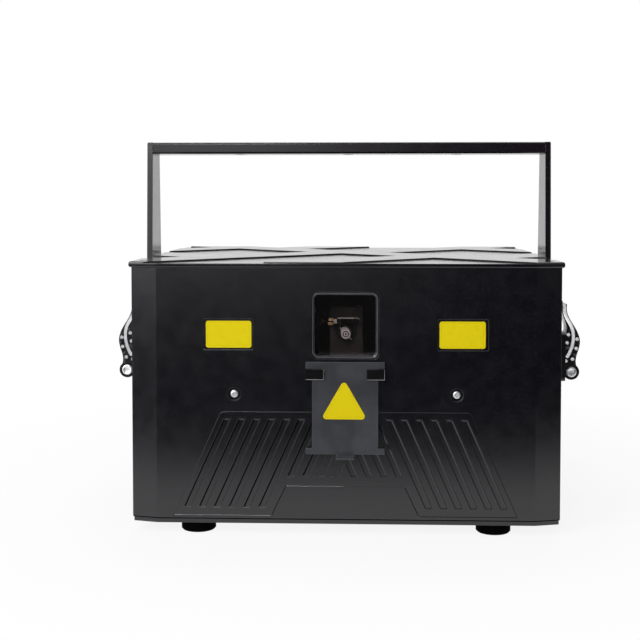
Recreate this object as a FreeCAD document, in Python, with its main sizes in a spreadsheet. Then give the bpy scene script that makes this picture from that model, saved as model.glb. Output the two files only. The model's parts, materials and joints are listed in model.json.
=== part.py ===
import FreeCAD, Part
import math
import os
import re

import Sketcher

# Laser show projector: a folded steel case on rubber feet, with a beam window behind a sliding
# shutter, scanning mirrors, laser modules on an optical bench, rear fans and a tilting yoke that
# two quick-release cam levers clamp.
# Frame: +Z up, millimetres, origin on the floor under the middle of the case, front towards -Y.

SIZES = {
    # case
    "case_width": 400,
    "case_depth": 370,
    "panel_height": 234.5,
    "base_thickness": 5,
    "base_inset": 1,
    "front_thickness": 5,
    "wall_thickness": 2.5,
    "facet_width": 24,
    "facet_setback": 6,
    "post_side": 14,
    "slot_from_rear": 40,
    "slot_pitch": 11,
    "slot_width": 5,
    "slot_up": 30,
    "slot_length": 60,
    "slot_count": 8,
    # feet
    "foot_height": 10,
    "foot_radius": 16.3,
    "foot_round": 1.5,
    "foot_from_side": 60.6,
    "foot_from_front": 19,
    "foot_screw_radius": 2,
    "foot_screw_head": 4.5,
    "foot_screw_recess": 4,
    # top cover and its straps
    "cover_height": 5.5,
    "cover_overhang": 2.3,
    "cover_round": 2,
    "cover_rim": 22,
    "cover_recess": 2.5,
    "strap_width": 52,
    "square_cell": 122,
    "slot_cell": 81,
    "cell_offset": 36,
    "strap_shift": 26,
    "strap_relief": 1.5,
    # screws of the case
    "screw_radius": 2,
    "screw_head": 3.8,
    "screw_head_height": 2.2,
    "panel_head_height": 0.8,
    "screw_length": 9,
    "screw_gap": 0.3,
    "screw_from_end": 20,
    # beam window
    "window_side": 57,
    "window_bevel": 2.75,
    "window_corner": 2.5,
    "window_drop": 53.5,
    "glass_setback": 13.8,
    "glass_thickness": 3,
    "gasket_width": 5,
    # label recesses and bright screws of the front
    "label_width": 46.3,
    "label_height": 29,
    "label_drop": 62,
    "label_depth": 0.6,
    "bright_drop": 117.9,
    "bright_hole": 2,
    "bright_radius": 3.85,
    "bright_head": 2.4,
    "bright_bore": 6.1,
    "bright_bore_depth": 3.2,
    # raised trim of the front
    "trim_thickness": 1.2,
    "trim_up": 3,
    "trim_height": 97.7,
    "trim_margin": 16,
    "trim_corner": 5,
    "trim_bevel": 0.5,
    "arch_rise": 28,
    "groove_depth": 0.8,
    "groove_margin": 8,
    "groove_mid_rise": 29.6,
    "groove_top_margin": 7,
    "long_grooves": 6,
    "short_grooves": 2,
    # shutter and its guides
    "shutter_gap": 2,
    "shutter_thickness": 1.5,
    "shutter_half": 30.6,
    "shutter_height": 86,
    "shutter_clear": 5,
    "wing_half": 36.5,
    "high_wing": 6.5,
    "low_wing": 5.6,
    "tab_half": 8.4,
    "tab_reach": 10,
    "tab_thickness": 1.5,
    "tab_drop": 3,
    "guide_inner": 20.1,
    "guide_outer": 36.2,
    "guide_height": 9.1,
    "guide_lip": 2,
    "slide_gap": 0.4,
    "rest_gap": 0.3,
    # yoke
    "pivot_height": 129,
    "yoke_gap": 7.4,
    "arm_thickness": 6,
    "arm_top_width": 41,
    "arm_low_width": 72,
    "arm_below": 34,
    "arm_round": 30,
    "arm_edge": 1,
    "yoke_rise": 118.3,
    "bar_height": 12.2,
    "bar_round": 2,
    "yoke_screw_radius": 3,
    "yoke_screw_head": 5,
    "yoke_screw_spread": 12,
    "yoke_screw_length": 22,
    "insert_radius": 6,
    "insert_bore": 4.25,
    "insert_flange": 8,
    "insert_flange_height": 1,
    "press_gap": 0.02,
    # yoke pivots and clamps
    "boss_radius": 22,
    "turn_gap": 0.3,
    "skewer_radius": 4,
    "skewer_head": 9,
    "skewer_head_height": 6,
    "pivot_fit": 0.08,
    "block_thickness": 14.6,
    "block_depth": 68,
    "block_below": 7,
    "block_above": 44,
    "block_round": 4,
    "cam_washer_radius": 7,
    "cam_washer": 1.3,
    "barrel_radius": 5.4,
    "barrel_proud": 1.2,
    # cam lever
    "eye_radius": 8.5,
    "lever_width": 22,
    "lever_slot": 9,
    "lever_reach": 72,
    "lever_belly": 8.3,
    "leaf_slot": 3.4,
    "lever_hole": 1.9,
    # optical bench and what stands on it
    "bench_side_gap": 32.5,
    "bench_front": 25,
    "bench_rear": 45,
    "bench_thickness": 8,
    "pillar_radius": 7,
    "pillar_from_edge": 15,
    "beam_drop": 12,
    "beam_over_bench": 32,
    "beam_lane": 40,
    "laser_length": 85,
    "laser_width": 40,
    "laser_height": 46,
    "laser_pitch": 60,
    "laser_stand_off": 32,
    "lens_radius": 7,
    "lens_length": 10,
    "holder_side": 15,
    "filter_side": 20,
    "filter_thickness": 2,
    # scanning mirrors
    "scan_depth": 45,
    "scan_rise": 11.5,
    "motor_radius": 10,
    "motor_length": 38,
    "nose_radius": 5.5,
    "nose_length": 4,
    "shaft_radius": 1.5,
    "shaft_fit": 0.08,
    "clamp_radius": 3.2,
    "clamp_length": 7,
    "mirror_thickness": 1,
    "x_mirror_width": 9,
    "x_mirror_length": 12,
    "y_mirror_width": 10,
    "y_mirror_length": 22,
    "mount_wall": 12,
    "mount_floor": 8,
    "mirror_overhang": 9,
    "mirror_gap": 5,
    # electronics under the bench
    "supply_length": 150,
    "supply_width": 98,
    "supply_height": 42,
    "board_length": 80,
    "board_width": 90,
    "board_thickness": 1.6,
    "spacer_height": 8,
    "spacer_radius": 3,
    "chip_height": 12,
    # fans
    "fan_side": 80,
    "fan_depth": 25,
    "fan_drop": 89.5,
    "fan_bore": 38.5,
    "fan_tip_gap": 1.5,
    "fan_wall": 3,
    "hub_radius": 18,
    "hub_depth": 19,
    "blade_thickness": 1.6,
    "blade_angle": 38,
    "blade_margin": 2,
    "blade_root": 1,
    "blade_count": 7,
    "grille_slot": 5,
    "grille_web": 3.5,
    "grille_rings": 4,
    "spoke_width": 5,
    # rear fittings
    "row_up": 47,
    "socket_pitch": 72,
    "flange_width": 26,
    "flange_height": 31,
    "flange_thickness": 2.5,
    "flange_corner": 3,
    "connector_radius": 12,
    "connector_depth": 22,
    "cavity_radius": 9.5,
    "cavity_depth": 15,
    "pin_radius": 1.3,
    "pin_circle": 4.2,
    "pin_length": 9,
    "core_radius": 5,
    "panel_fit": 0.2,
    "shell_width": 39,
    "shell_height": 8.4,
    "shell_taper": 1.5,
    "shell_length": 6,
    "socket_flange_width": 53,
    "socket_flange_height": 12.6,
    "socket_flange": 1.2,
    "bezel_radius": 11,
    "bezel_length": 3,
    "switch_radius": 9,
    "switch_length": 24,
    "plug_radius": 5.5,
    "plug_depth": 16,
    "key_thickness": 2,
    "key_blade": 6,
    "key_bow_radius": 7,
    "key_reach": 16,
    "plate_thickness": 3,
    "eye_plate_width": 44,
    "eye_plate_height": 20,
    "eye_reach": 16,
    "eye_drop": 25.5,
    "eye_bore": 5,
}

NAMES = re.compile(r"\b(" + "|".join(sorted(SIZES, key=len, reverse=True)) + r")\b")

DECK = "(foot_height + base_thickness)"
EAVES = f"({DECK} + panel_height)"
SIDE = "(case_width / 2)"
FRONT = "(-case_depth / 2)"
REAR = "(case_depth / 2)"
INNER_REAR = f"({REAR} - wall_thickness)"
INNER_SIDE = f"({SIDE} - wall_thickness)"
SIDE_FRONT = f"({FRONT} + facet_setback + front_thickness)"
WINDOW = f"({EAVES} - window_drop)"
WINDOW_HALF = "(window_side / 2)"
LABEL_X = "(case_width * 0.2725)"
LABEL_Z = f"({EAVES} - label_drop)"
BRIGHT_X = "(case_width * 0.25825)"
BRIGHT_Z = f"({EAVES} - bright_drop)"
TRIM_LOW = f"({DECK} + trim_up)"
TRIM_HIGH = f"({TRIM_LOW} + trim_height)"
TRIM_HALF = f"({SIDE} - facet_width - trim_margin)"
TRIM_HIGH_HALF = f"({TRIM_HALF} * 0.725)"
GROOVE_LOW = f"({TRIM_LOW} + groove_margin)"
GROOVE_MID = f"({GROOVE_LOW} + groove_mid_rise)"
GROOVE_HIGH = f"({TRIM_HIGH} - groove_top_margin)"
GROOVE_START = f"({TRIM_HALF} * 0.93875)"
GROOVE_PITCH = f"({TRIM_HALF} * 0.086875)"
GROOVE_WIDTH = f"({TRIM_HALF} * 0.03625)"
SHUTTER_HIGH = f"({WINDOW} - {WINDOW_HALF} - shutter_clear)"
SHUTTER_LOW = f"({SHUTTER_HIGH} - shutter_height)"
PLATE_BACK = f"({FRONT} - shutter_gap)"
PLATE_FRONT = f"({PLATE_BACK} - shutter_thickness)"
GUIDE_HIGH = f"({SHUTTER_HIGH} - high_wing - rest_gap)"
ARM_INNER = f"({SIDE} + yoke_gap)"
ARM_OUTER = f"({ARM_INNER} + arm_thickness)"
YOKE_TOP = f"({EAVES} + cover_height + yoke_rise)"
INSERT_X = "(case_width * 0.28875)"
BLOCK_INNER = f"({ARM_OUTER} + turn_gap)"
BLOCK_OUTER = f"({BLOCK_INNER} + block_thickness)"
BARREL = f"({BLOCK_OUTER} + cam_washer + turn_gap + eye_radius)"
BEAM = f"({WINDOW} - beam_drop)"
BENCH_TOP = f"({BEAM} - beam_over_bench)"
BENCH_LOW = f"({BENCH_TOP} - bench_thickness)"
BENCH_HALF = f"({INNER_SIDE} - bench_side_gap)"
SCAN_Y = f"({FRONT} + scan_depth)"
UPPER_SCAN = f"({BEAM} + scan_rise)"
FAN_X = "(case_width * 0.3)"
FAN_Z = f"({EAVES} - fan_drop)"
ROW = f"({DECK} + row_up)"
MAINS_X = "(-case_width * 0.375)"
DMX_IN_X = "(-case_width * 0.2375)"
DMX_OUT_X = "(-case_width * 0.125)"
SOCKETS_X = "(case_width * 0.1375)"
KEY_X = "(case_width * 0.375)"
EYE_Z = f"({EAVES} - eye_drop)"

AXES = {"X": FreeCAD.Vector(1, 0, 0), "Y": FreeCAD.Vector(0, 1, 0), "Z": FreeCAD.Vector(0, 0, 1)}
TURNS = {"X": (AXES["Y"], 90), "Y": (AXES["X"], -90), "Z": (AXES["Z"], 0)}

doc = FreeCAD.newDocument("LaserProjector")
sheet = doc.addObject("Spreadsheet::Sheet", "Sizes")
for row, (alias, number) in enumerate(SIZES.items(), start=1):
    sheet.set(f"A{row}", alias)
    sheet.set(f"B{row}", str(number))
    sheet.setAlias(f"B{row}", alias)
doc.recompute()

nodes = []


# Binding to the sheet

def size(alias):
    """Number held by a cell of the sheet."""
    return float(sheet.get(alias))


def deck():
    """Height of the base plate's upper face."""
    return size("foot_height") + size("base_thickness")


def eaves():
    """Height of the panels' upper edge."""
    return deck() + size("panel_height")


def formula(text):
    """Expression in which each name of a size refers to its cell."""
    return NAMES.sub(r"Sizes.\1", str(text))


def bind(thing, **sizes):
    """Ties properties of a document object to formulas over the sheet."""
    for name, text in sizes.items():
        thing.setExpression(name, formula(text))


def place(thing, x=0, y=0, z=0, turn=None):
    """Puts an object at formulas for its base point, turned about an axis first."""
    if turn:
        thing.Placement = FreeCAD.Placement(FreeCAD.Vector(), FreeCAD.Rotation(*turn))
    for axis, text in zip("xyz", (x, y, z)):
        thing.setExpression(f"Placement.Base.{axis}", formula(text))


def node(name, thing):
    """Names a finished sub-part."""
    thing.Label = name
    nodes.append(thing)
    return thing


# Primitives and booleans

def box(name, x, y, z):
    """Box between two formulas along each axis."""
    piece = doc.addObject("Part::Box", name)
    for side, (low, high) in zip(("Length", "Width", "Height"), (x, y, z)):
        bind(piece, **{side: f"({high}) - ({low})"})
    place(piece, x[0], y[0], z[0])
    return piece


def rod(name, axis, radius, start, length, x=0, y=0, z=0):
    """Cylinder along an axis from a start on it, with its axis through x, y, z."""
    piece = doc.addObject("Part::Cylinder", name)
    bind(piece, Radius=radius, Height=length)
    spot = {"X": (start, y, z), "Y": (x, start, z), "Z": (x, y, start)}[axis]
    place(piece, *spot, turn=TURNS[axis])
    return piece


def cone(name, first, second, length, x, y, z):
    """Upright cone between two radii."""
    piece = doc.addObject("Part::Cone", name)
    bind(piece, Radius1=first, Radius2=second, Height=length)
    place(piece, x, y, z)
    return piece


def span(middle, half):
    """Range of a half width on both sides of a middle."""
    return f"({middle}) - ({half})", f"({middle}) + ({half})"


def join(name, *pieces):
    """One solid of pieces that run into each other."""
    whole = doc.addObject("Part::MultiFuse", name)
    whole.Shapes = list(pieces)
    whole.Refine = True
    return whole


def group(name, pieces):
    """Separate solids of one sub-part."""
    whole = doc.addObject("Part::Compound", name)
    whole.Links = list(pieces)
    return whole


def cut(name, base, *tools):
    """Base without its tools."""
    whole = doc.addObject("Part::Cut", name)
    whole.Base = base
    whole.Tool = tools[0] if len(tools) == 1 else group(name + "_tools", tools)
    return whole


def mirrored(name, source):
    """Copy of a piece on the other side of the middle plane."""
    copy = doc.addObject("Part::Mirroring", name)
    copy.Source = source
    copy.Normal = FreeCAD.Vector(1, 0, 0)
    return copy


def pair(stem, source):
    """The right and left nodes of a piece that both sides have."""
    node("right_" + stem, source)
    return node("left_" + stem, mirrored("left_" + stem, source))


def rounded(name, base, axis, radius):
    """Base with the edges along an axis rounded."""
    doc.recompute()
    piece = doc.addObject("Part::Fillet", name)
    piece.Base = base
    along = AXES[axis]
    piece.Edges = [
        (index, size(radius), size(radius))
        for index, edge in enumerate(base.Shape.Edges, start=1)
        if abs(edge.tangentAt(edge.FirstParameter).dot(along)) > 0.999
    ]
    return piece


# Sketched bodies

def new_body(name):
    """Empty body for sketched features."""
    return doc.addObject("PartDesign::Body", name)


def origin(body, role):
    """Plane or axis of a body's own origin."""
    return next(feature for feature in body.Origin.OriginFeatures if feature.Role == role)


def new_sketch(body, name, plane, offset="0"):
    """Sketch on an origin plane of its body, moved along the plane's normal."""
    sketch = body.newObject("Sketcher::SketchObject", name)
    sketch.AttachmentSupport = (origin(body, plane), [""])
    sketch.MapMode = "FlatFace"
    sketch.setExpression("AttachmentOffset.Base.z", formula(offset))
    return sketch


def hold(sketch, geometry, point, x, y):
    """Ties one point of a sketch to formulas for its coordinates."""
    for kind, text in (("DistanceX", x), ("DistanceY", y)):
        index = sketch.addConstraint(Sketcher.Constraint(kind, -1, 1, geometry, point, 1.0))
        sketch.setExpression(f"Constraints[{index}]", formula(text))


def outline(sketch, points):
    """Closed polygon through points whose coordinates are formulas."""
    count = len(points)
    first = sketch.GeometryCount
    ring = [
        FreeCAD.Vector(math.cos(2 * math.pi * step / count), math.sin(2 * math.pi * step / count), 0)
        for step in range(count)
    ]
    for step in range(count):
        sketch.addGeometry(Part.LineSegment(ring[step], ring[(step + 1) % count]))
    for step in range(count):
        follow = first + (step + 1) % count
        sketch.addConstraint(Sketcher.Constraint("Coincident", first + step, 2, follow, 1))
    for step, (x, y) in enumerate(points):
        hold(sketch, first + step, 1, x, y)


def rectangle(sketch, x, y):
    """Rectangle between two formulas along each axis of the sketch."""
    outline(sketch, [(x[0], y[0]), (x[1], y[0]), (x[1], y[1]), (x[0], y[1])])


def circle(sketch, x, y, radius):
    """Circle whose centre and radius are formulas."""
    index = sketch.addGeometry(Part.Circle(FreeCAD.Vector(), FreeCAD.Vector(0, 0, 1), 1))
    constraint = sketch.addConstraint(Sketcher.Constraint("Radius", index, 1.0))
    sketch.setExpression(f"Constraints[{constraint}]", formula(radius))
    hold(sketch, index, 3, x, y)


def pad(body, sketch, length, backwards=False):
    """Raises a sketch into the body's solid."""
    feature = body.newObject("PartDesign::Pad", sketch.Name + "_pad")
    feature.Profile = sketch
    feature.Reversed = backwards
    bind(feature, Length=length)
    doc.recompute()
    return feature


def pocket(body, sketch, depth, backwards=False):
    """Sinks a sketch into the body's solid, and proves that it took something away."""
    before = body.Shape.Volume
    feature = body.newObject("PartDesign::Pocket", sketch.Name + "_pocket")
    feature.Profile = sketch
    feature.Reversed = backwards
    bind(feature, Length=depth)
    doc.recompute()
    if body.Shape.Volume >= before - 1e-6:
        raise ValueError(f"{sketch.Name} cuts nothing")
    return feature


def soften(body, kind, base, wanted, **sizes):
    """Fillet or chamfer on the edges of a feature that a test picks."""
    names = [f"Edge{index}" for index, edge in enumerate(base.Shape.Edges, start=1) if wanted(edge)]
    feature = body.newObject(f"PartDesign::{kind}", f"{base.Name}_{kind.lower()}")
    feature.Base = (base, names)
    bind(feature, **sizes)
    doc.recompute()
    return feature


def level(edge, axis, place_on_axis):
    """Whether an edge lies in the plane that crosses an axis at one place."""
    box_of = edge.BoundBox
    low = getattr(box_of, axis + "Min")
    high = getattr(box_of, axis + "Max")
    return abs(low - place_on_axis) < 1e-4 and abs(high - place_on_axis) < 1e-4


# Case

def case_plan(inset):
    """Corners of the case's plan, drawn in by an inset: the front bends back towards the sides."""
    side = f"({SIDE} - ({inset}))"
    flat = f"({SIDE} - facet_width)"
    front = f"({FRONT} + ({inset}))"
    bend = f"({front} + facet_setback)"
    rear = f"({REAR} - ({inset}))"
    right = [(side, rear), (side, bend), (flat, front)]
    left = [(f"-{x}", y) for x, y in reversed(right)]
    return right + left


def foot_spots():
    """Formulas for the middle of each foot."""
    for across in (-1, 1):
        for along in (-1, 1):
            yield f"{across} * ({SIDE} - foot_from_side)", f"{along} * ({REAR} - foot_from_front)"


def post_spots():
    """Formulas for the middle of each corner post."""
    half = "(post_side / 2)"
    for across in (-1, 1):
        for y in (f"({SIDE_FRONT} + {half})", f"({INNER_REAR} - {half})"):
            yield f"{across} * ({INNER_SIDE} - {half})", y


def make_base_plate():
    body = new_body("base_plate")
    plan = new_sketch(body, "base_plan", "XY_Plane", "foot_height")
    outline(plan, case_plan("base_inset"))
    pad(body, plan, "base_thickness")
    holes = new_sketch(body, "base_holes", "XY_Plane", DECK)
    for x, y in foot_spots():
        circle(holes, x, y, "foot_screw_radius")
    pocket(body, holes, "base_thickness")
    return node("base_plate", body)


def make_front_panel():
    body = new_body("front_panel")
    flat = f"({SIDE} - facet_width)"
    bend = f"({FRONT} + facet_setback)"
    face = [(f"-{SIDE}", bend), (f"-{flat}", FRONT), (flat, FRONT), (SIDE, bend)]
    back = [(x, f"{y} + front_thickness") for x, y in reversed(face)]
    plan = new_sketch(body, "front_plan", "XY_Plane", DECK)
    outline(plan, face + back)
    pad(body, plan, "panel_height")

    opening = new_sketch(body, "window_opening", "XZ_Plane", f"-{FRONT}")
    rectangle(opening, span("0", WINDOW_HALF), span(WINDOW, WINDOW_HALF))
    hole = pocket(body, opening, "front_thickness")
    reach = size("window_side") / 2 + 0.01
    middle = eaves() - size("window_drop")

    def at_window(edge):
        centre = edge.BoundBox.Center
        return abs(centre.x) < reach and abs(centre.z - middle) < reach

    def through(edge):
        return at_window(edge) and edge.BoundBox.YLength > size("front_thickness") - 0.01

    corners = soften(body, "Fillet", hole, through, Radius="window_corner")
    face_y = -size("case_depth") / 2
    soften(body, "Chamfer", corners, lambda e: at_window(e) and level(e, "Y", face_y), Size="window_bevel")

    recess = new_sketch(body, "label_recess", "XZ_Plane", f"-{FRONT}")
    bores = new_sketch(body, "screw_bores", "XZ_Plane", f"-{FRONT}")
    holes = new_sketch(body, "screw_holes", "XZ_Plane", f"-{FRONT}")
    for across in (-1, 1):
        wide = span(f"{across} * {LABEL_X}", "label_width / 2")
        rectangle(recess, wide, span(LABEL_Z, "label_height / 2"))
        circle(bores, f"{across} * {BRIGHT_X}", BRIGHT_Z, "bright_bore")
        circle(holes, f"{across} * {BRIGHT_X}", BRIGHT_Z, "bright_hole")
    pocket(body, recess, "label_depth")
    pocket(body, bores, "bright_bore_depth")
    pocket(body, holes, "front_thickness")
    return node("front_panel", body)


LEAN = f"(({TRIM_HALF} - {TRIM_HIGH_HALF}) / trim_height)"


def groove_edge(step, height, shift="0"):
    """Where a groove's outer edge crosses a height, on the left of the trim."""
    return f"(-{GROOVE_START} + {GROOVE_PITCH} * {step} + {LEAN} * ({height} - {GROOVE_LOW}) + {shift})"


def slanted_groove(sketch, step, low, side):
    """One leaning groove on one side of the trim."""
    corners = [
        (groove_edge(step, low), low),
        (groove_edge(step, GROOVE_HIGH), GROOVE_HIGH),
        (groove_edge(step, GROOVE_HIGH, GROOVE_WIDTH), GROOVE_HIGH),
        (groove_edge(step, low, GROOVE_WIDTH), low),
    ]
    outline(sketch, [(f"{side} * {x}", y) for x, y in corners])


def middle_groove(sketch, step):
    """Roof-shaped groove where the last leaning grooves of both sides meet."""
    outer = groove_edge(step, GROOVE_MID)
    inner = groove_edge(step, GROOVE_MID, GROOVE_WIDTH)
    left = [(outer, GROOVE_MID), ("0", f"{GROOVE_MID} - {outer} / {LEAN}")]
    right = [(f"-{outer}", GROOVE_MID), (f"-{inner}", GROOVE_MID)]
    outline(sketch, left + right + [("0", f"{GROOVE_MID} - {inner} / {LEAN}"), (inner, GROOVE_MID)])


def make_front_trim():
    body = new_body("front_trim")
    plan = new_sketch(body, "trim_outline", "XZ_Plane", f"-{FRONT}")
    right = [
        (TRIM_HIGH_HALF, TRIM_HIGH),
        (TRIM_HALF, TRIM_LOW),
        (f"{TRIM_HALF} * 0.428", TRIM_LOW),
        (f"{TRIM_HALF} * 0.3456", f"{TRIM_LOW} + arch_rise"),
    ]
    outline(plan, right + [(f"-{x}", z) for x, z in reversed(right)])
    plate = pad(body, plan, "trim_thickness")

    def top_corner(edge):
        spot = edge.BoundBox
        upright = spot.YLength > size("trim_thickness") - 0.01
        return upright and spot.ZMax > deck() + size("trim_up") + size("trim_height") - 0.01

    soften(body, "Fillet", plate, top_corner, Radius="trim_corner")
    grooves = new_sketch(body, "trim_grooves", "XZ_Plane", f"-{FRONT} + trim_thickness")
    long_count = int(size("long_grooves"))
    count = long_count + int(size("short_grooves"))
    for side in (-1, 1):
        for step in range(count):
            slanted_groove(grooves, step, GROOVE_LOW if step < long_count else GROOVE_MID, side)
    for step in (count, count + 1):
        middle_groove(grooves, step)
    sunk = pocket(body, grooves, "groove_depth")
    face_y = -size("case_depth") / 2 - size("trim_thickness")
    soften(body, "Chamfer", sunk, lambda edge: level(edge, "Y", face_y), Size="trim_bevel")
    return node("front_trim", body)


def strap_cells():
    """Sunk cells between the straps, as ranges along the two strap directions from their centre."""
    far = "(case_width + case_depth)"
    half = "(strap_width / 2)"
    square_far = "(cell_offset + square_cell)"
    slot_near = "(strap_width - cell_offset)"
    slot_far = f"({slot_near} + slot_cell)"
    inner = f"-{half}"
    return [
        ((f"-{half} - square_cell", inner), ("cell_offset", square_far)),
        ((f"-{far}", inner), (f"-{slot_far}", f"-{slot_near}")),
        ((f"-{far}", inner), (f"-{far}", f"-{slot_far} - strap_width")),
        ((f"-{far}", inner), (f"{square_far} + strap_width", far)),
        ((f"-{far}", f"-{half} - square_cell - strap_width"), ("cell_offset", square_far)),
    ]


def make_top_cover():
    body = new_body("top_cover")
    plan = new_sketch(body, "cover_plan", "XY_Plane", EAVES)
    outline(plan, case_plan("-cover_overhang"))
    slab = pad(body, plan, "cover_height")
    low = eaves()
    high = low + size("cover_height")
    soften(body, "Fillet", slab, lambda e: level(e, "Z", low) or level(e, "Z", high), Radius="cover_round")

    cells = new_sketch(body, "strap_cells", "XY_Plane", f"{EAVES} + cover_height")
    cells.AttachmentOffset = FreeCAD.Placement(
        FreeCAD.Vector(), FreeCAD.Rotation(FreeCAD.Vector(0, 0, 1), 45)
    )
    cells.setExpression("AttachmentOffset.Base.y", formula("strap_shift"))
    for along, across in strap_cells():
        rectangle(cells, along, across)
        rectangle(cells, [f"-({edge})" for edge in along], [f"-({edge})" for edge in across])
    pocket(body, cells, "strap_relief")
    bores = new_sketch(body, "cover_bores", "XY_Plane", f"{EAVES} + cover_height")
    for x, y in post_spots():
        circle(bores, x, y, "screw_head + screw_gap")
    pocket(body, bores, "strap_relief + screw_head_height")

    under = new_sketch(body, "cover_underside", "XY_Plane", EAVES)
    outline(under, case_plan("cover_rim - cover_overhang"))
    pocket(body, under, "cover_recess", backwards=True)
    return node("top_cover", body)


def make_side_panels():
    body = new_body("right_side_panel")
    plan = new_sketch(body, "side_plan", "YZ_Plane", INNER_SIDE)
    rectangle(plan, (SIDE_FRONT, INNER_REAR), (DECK, EAVES))
    pad(body, plan, "wall_thickness")
    bore = new_sketch(body, "pivot_bore", "YZ_Plane", SIDE)
    circle(bore, "0", "pivot_height", "skewer_radius + pivot_fit")
    pocket(body, bore, "wall_thickness")
    slots = new_sketch(body, "intake_slots", "YZ_Plane", SIDE)
    low = f"({DECK} + slot_up)"
    for step in range(int(size("slot_count"))):
        along = f"({REAR} - slot_from_rear - slot_pitch * {step})"
        rectangle(slots, (along, f"{along} + slot_width"), (low, f"{low} + slot_length"))
    pocket(body, slots, "wall_thickness")
    pair("side_panel", body)


def make_corner_posts():
    half = "post_side / 2"
    posts = [
        box(f"post_{index}", span(x, half), span(y, half), (DECK, EAVES))
        for index, (x, y) in enumerate(post_spots())
    ]
    return node("corner_posts", group("corner_posts", posts))


def make_feet():
    feet = []
    screws = []
    head_low = "(foot_screw_recess / 2)"
    head_high = f"foot_screw_recess - {head_low}"
    grip = "foot_height - foot_screw_recess + base_thickness"
    bore = "foot_screw_head + press_gap"
    thin = "foot_screw_radius - press_gap"
    for index, (x, y) in enumerate(foot_spots()):
        drum = rod(f"foot_{index}", "Z", "foot_radius", "foot_round", "foot_height - foot_round", x, y)
        lip = cone(f"foot_lip_{index}", "foot_radius - foot_round", "foot_radius", "foot_round", x, y, 0)
        recess = rod(f"foot_recess_{index}", "Z", bore, 0, "foot_screw_recess", x, y)
        hole = rod(f"foot_hole_{index}", "Z", "foot_screw_radius", 0, "foot_height", x, y)
        feet.append(cut(f"rubber_foot_{index}", join(f"foot_whole_{index}", drum, lip), recess, hole))
        head = rod(f"foot_head_{index}", "Z", "foot_screw_head", head_low, head_high, x, y)
        shank = rod(f"foot_shank_{index}", "Z", thin, "foot_screw_recess", grip, x, y)
        screws.append(join(f"foot_screw_{index}", head, shank))
    node("rubber_feet", group("rubber_feet", feet))
    node("foot_screws", group("foot_screws", screws))


def screw_head(name, axis, start, height, x=0, y=0, z=0):
    """Low round screw head that stands on a panel, from its seat outwards."""
    return rod(name, axis, "screw_head", start, height, x, y, z)


def make_panel_screws():
    heads = []
    low = "panel_head_height"
    lines = (f"({DECK} + screw_from_end)", f"({EAVES} - screw_from_end)")
    for post, (x, y) in enumerate(post_spots()):
        right = post > 1
        seat = SIDE if right else f"-{SIDE} - {low}"
        for line, up in enumerate(lines):
            heads.append(screw_head(f"side_screw_{post}_{line}", "X", seat, low, y=y, z=up))
            if post % 2:
                heads.append(screw_head(f"rear_screw_{post}_{line}", "Y", REAR, low, x=x, z=up))
    return node("panel_screws", group("panel_screws", heads))


def make_front_screws():
    screws = []
    seat = f"({FRONT} + bright_bore_depth)"
    top = f"{seat} - bright_head"
    thin = "bright_hole - press_gap"
    for across in (-1, 1):
        x = f"{across} * {BRIGHT_X}"
        head = rod(f"bright_head_{across}", "Y", "bright_radius", top, "bright_head", x, 0, BRIGHT_Z)
        shank = rod(f"bright_shank_{across}", "Y", thin, seat, "screw_length", x, 0, BRIGHT_Z)
        screws.append(join(f"bright_screw_{across}", head, shank))
    return node("front_screws", group("front_screws", screws))


def make_window():
    outer = f"({WINDOW_HALF} + gasket_width)"
    behind = f"({FRONT} + front_thickness)"
    pane = f"({FRONT} + glass_setback)"

    def slab(name, reach, along):
        return box(name, span("0", reach), along, span(WINDOW, reach))

    outside = slab("gasket_outside", outer, (behind, pane))
    inside = slab("gasket_inside", WINDOW_HALF, (behind, pane))
    node("aperture_gasket", cut("aperture_gasket", outside, inside))
    node("aperture_glass", slab("aperture_glass", outer, (pane, f"{pane} + glass_thickness")))


# Shutter

def make_shutter_plate():
    body = new_body("shutter_plate")
    plan = new_sketch(body, "shutter_outline", "XZ_Plane", f"-{PLATE_BACK}")
    right = [
        ("wing_half", SHUTTER_HIGH),
        ("wing_half", f"{SHUTTER_HIGH} - high_wing"),
        ("shutter_half", f"{SHUTTER_HIGH} - high_wing"),
        ("shutter_half", f"{SHUTTER_LOW} + low_wing"),
        ("wing_half", f"{SHUTTER_LOW} + low_wing"),
        ("wing_half", SHUTTER_LOW),
    ]
    outline(plan, right + [(f"-{x}", z) for x, z in reversed(right)])
    pad(body, plan, "shutter_thickness")
    tab = new_sketch(body, "finger_tab", "YZ_Plane", "-tab_half")
    low = f"({SHUTTER_LOW} - tab_drop)"
    bent = [
        (PLATE_BACK, SHUTTER_LOW),
        (PLATE_BACK, low),
        (f"{PLATE_FRONT} - tab_reach", low),
        (f"{PLATE_FRONT} - tab_reach", f"{low} + tab_thickness"),
        (PLATE_FRONT, f"{low} + tab_thickness"),
        (PLATE_FRONT, SHUTTER_LOW),
    ]
    outline(tab, bent)
    pad(body, tab, "2 * tab_half")
    return node("shutter_plate", body)


def make_shutter_guides():
    low = f"({GUIDE_HIGH} - guide_height)"
    lip = f"({PLATE_FRONT} - slide_gap)"
    up = (low, GUIDE_HIGH)
    block = box("guide_block", ("guide_inner", "guide_outer"), (f"{lip} - guide_lip", FRONT), up)
    across = ("guide_inner - guide_lip", "shutter_half + slide_gap")
    past = (f"{low} - guide_lip", f"{GUIDE_HIGH} + guide_lip")
    track = box("guide_track", across, (lip, f"{PLATE_BACK} + slide_gap"), past)
    right = cut("right_guide", block, track)
    return node("shutter_guides", group("shutter_guides", [right, mirrored("left_guide", right)]))


# Yoke

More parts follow.
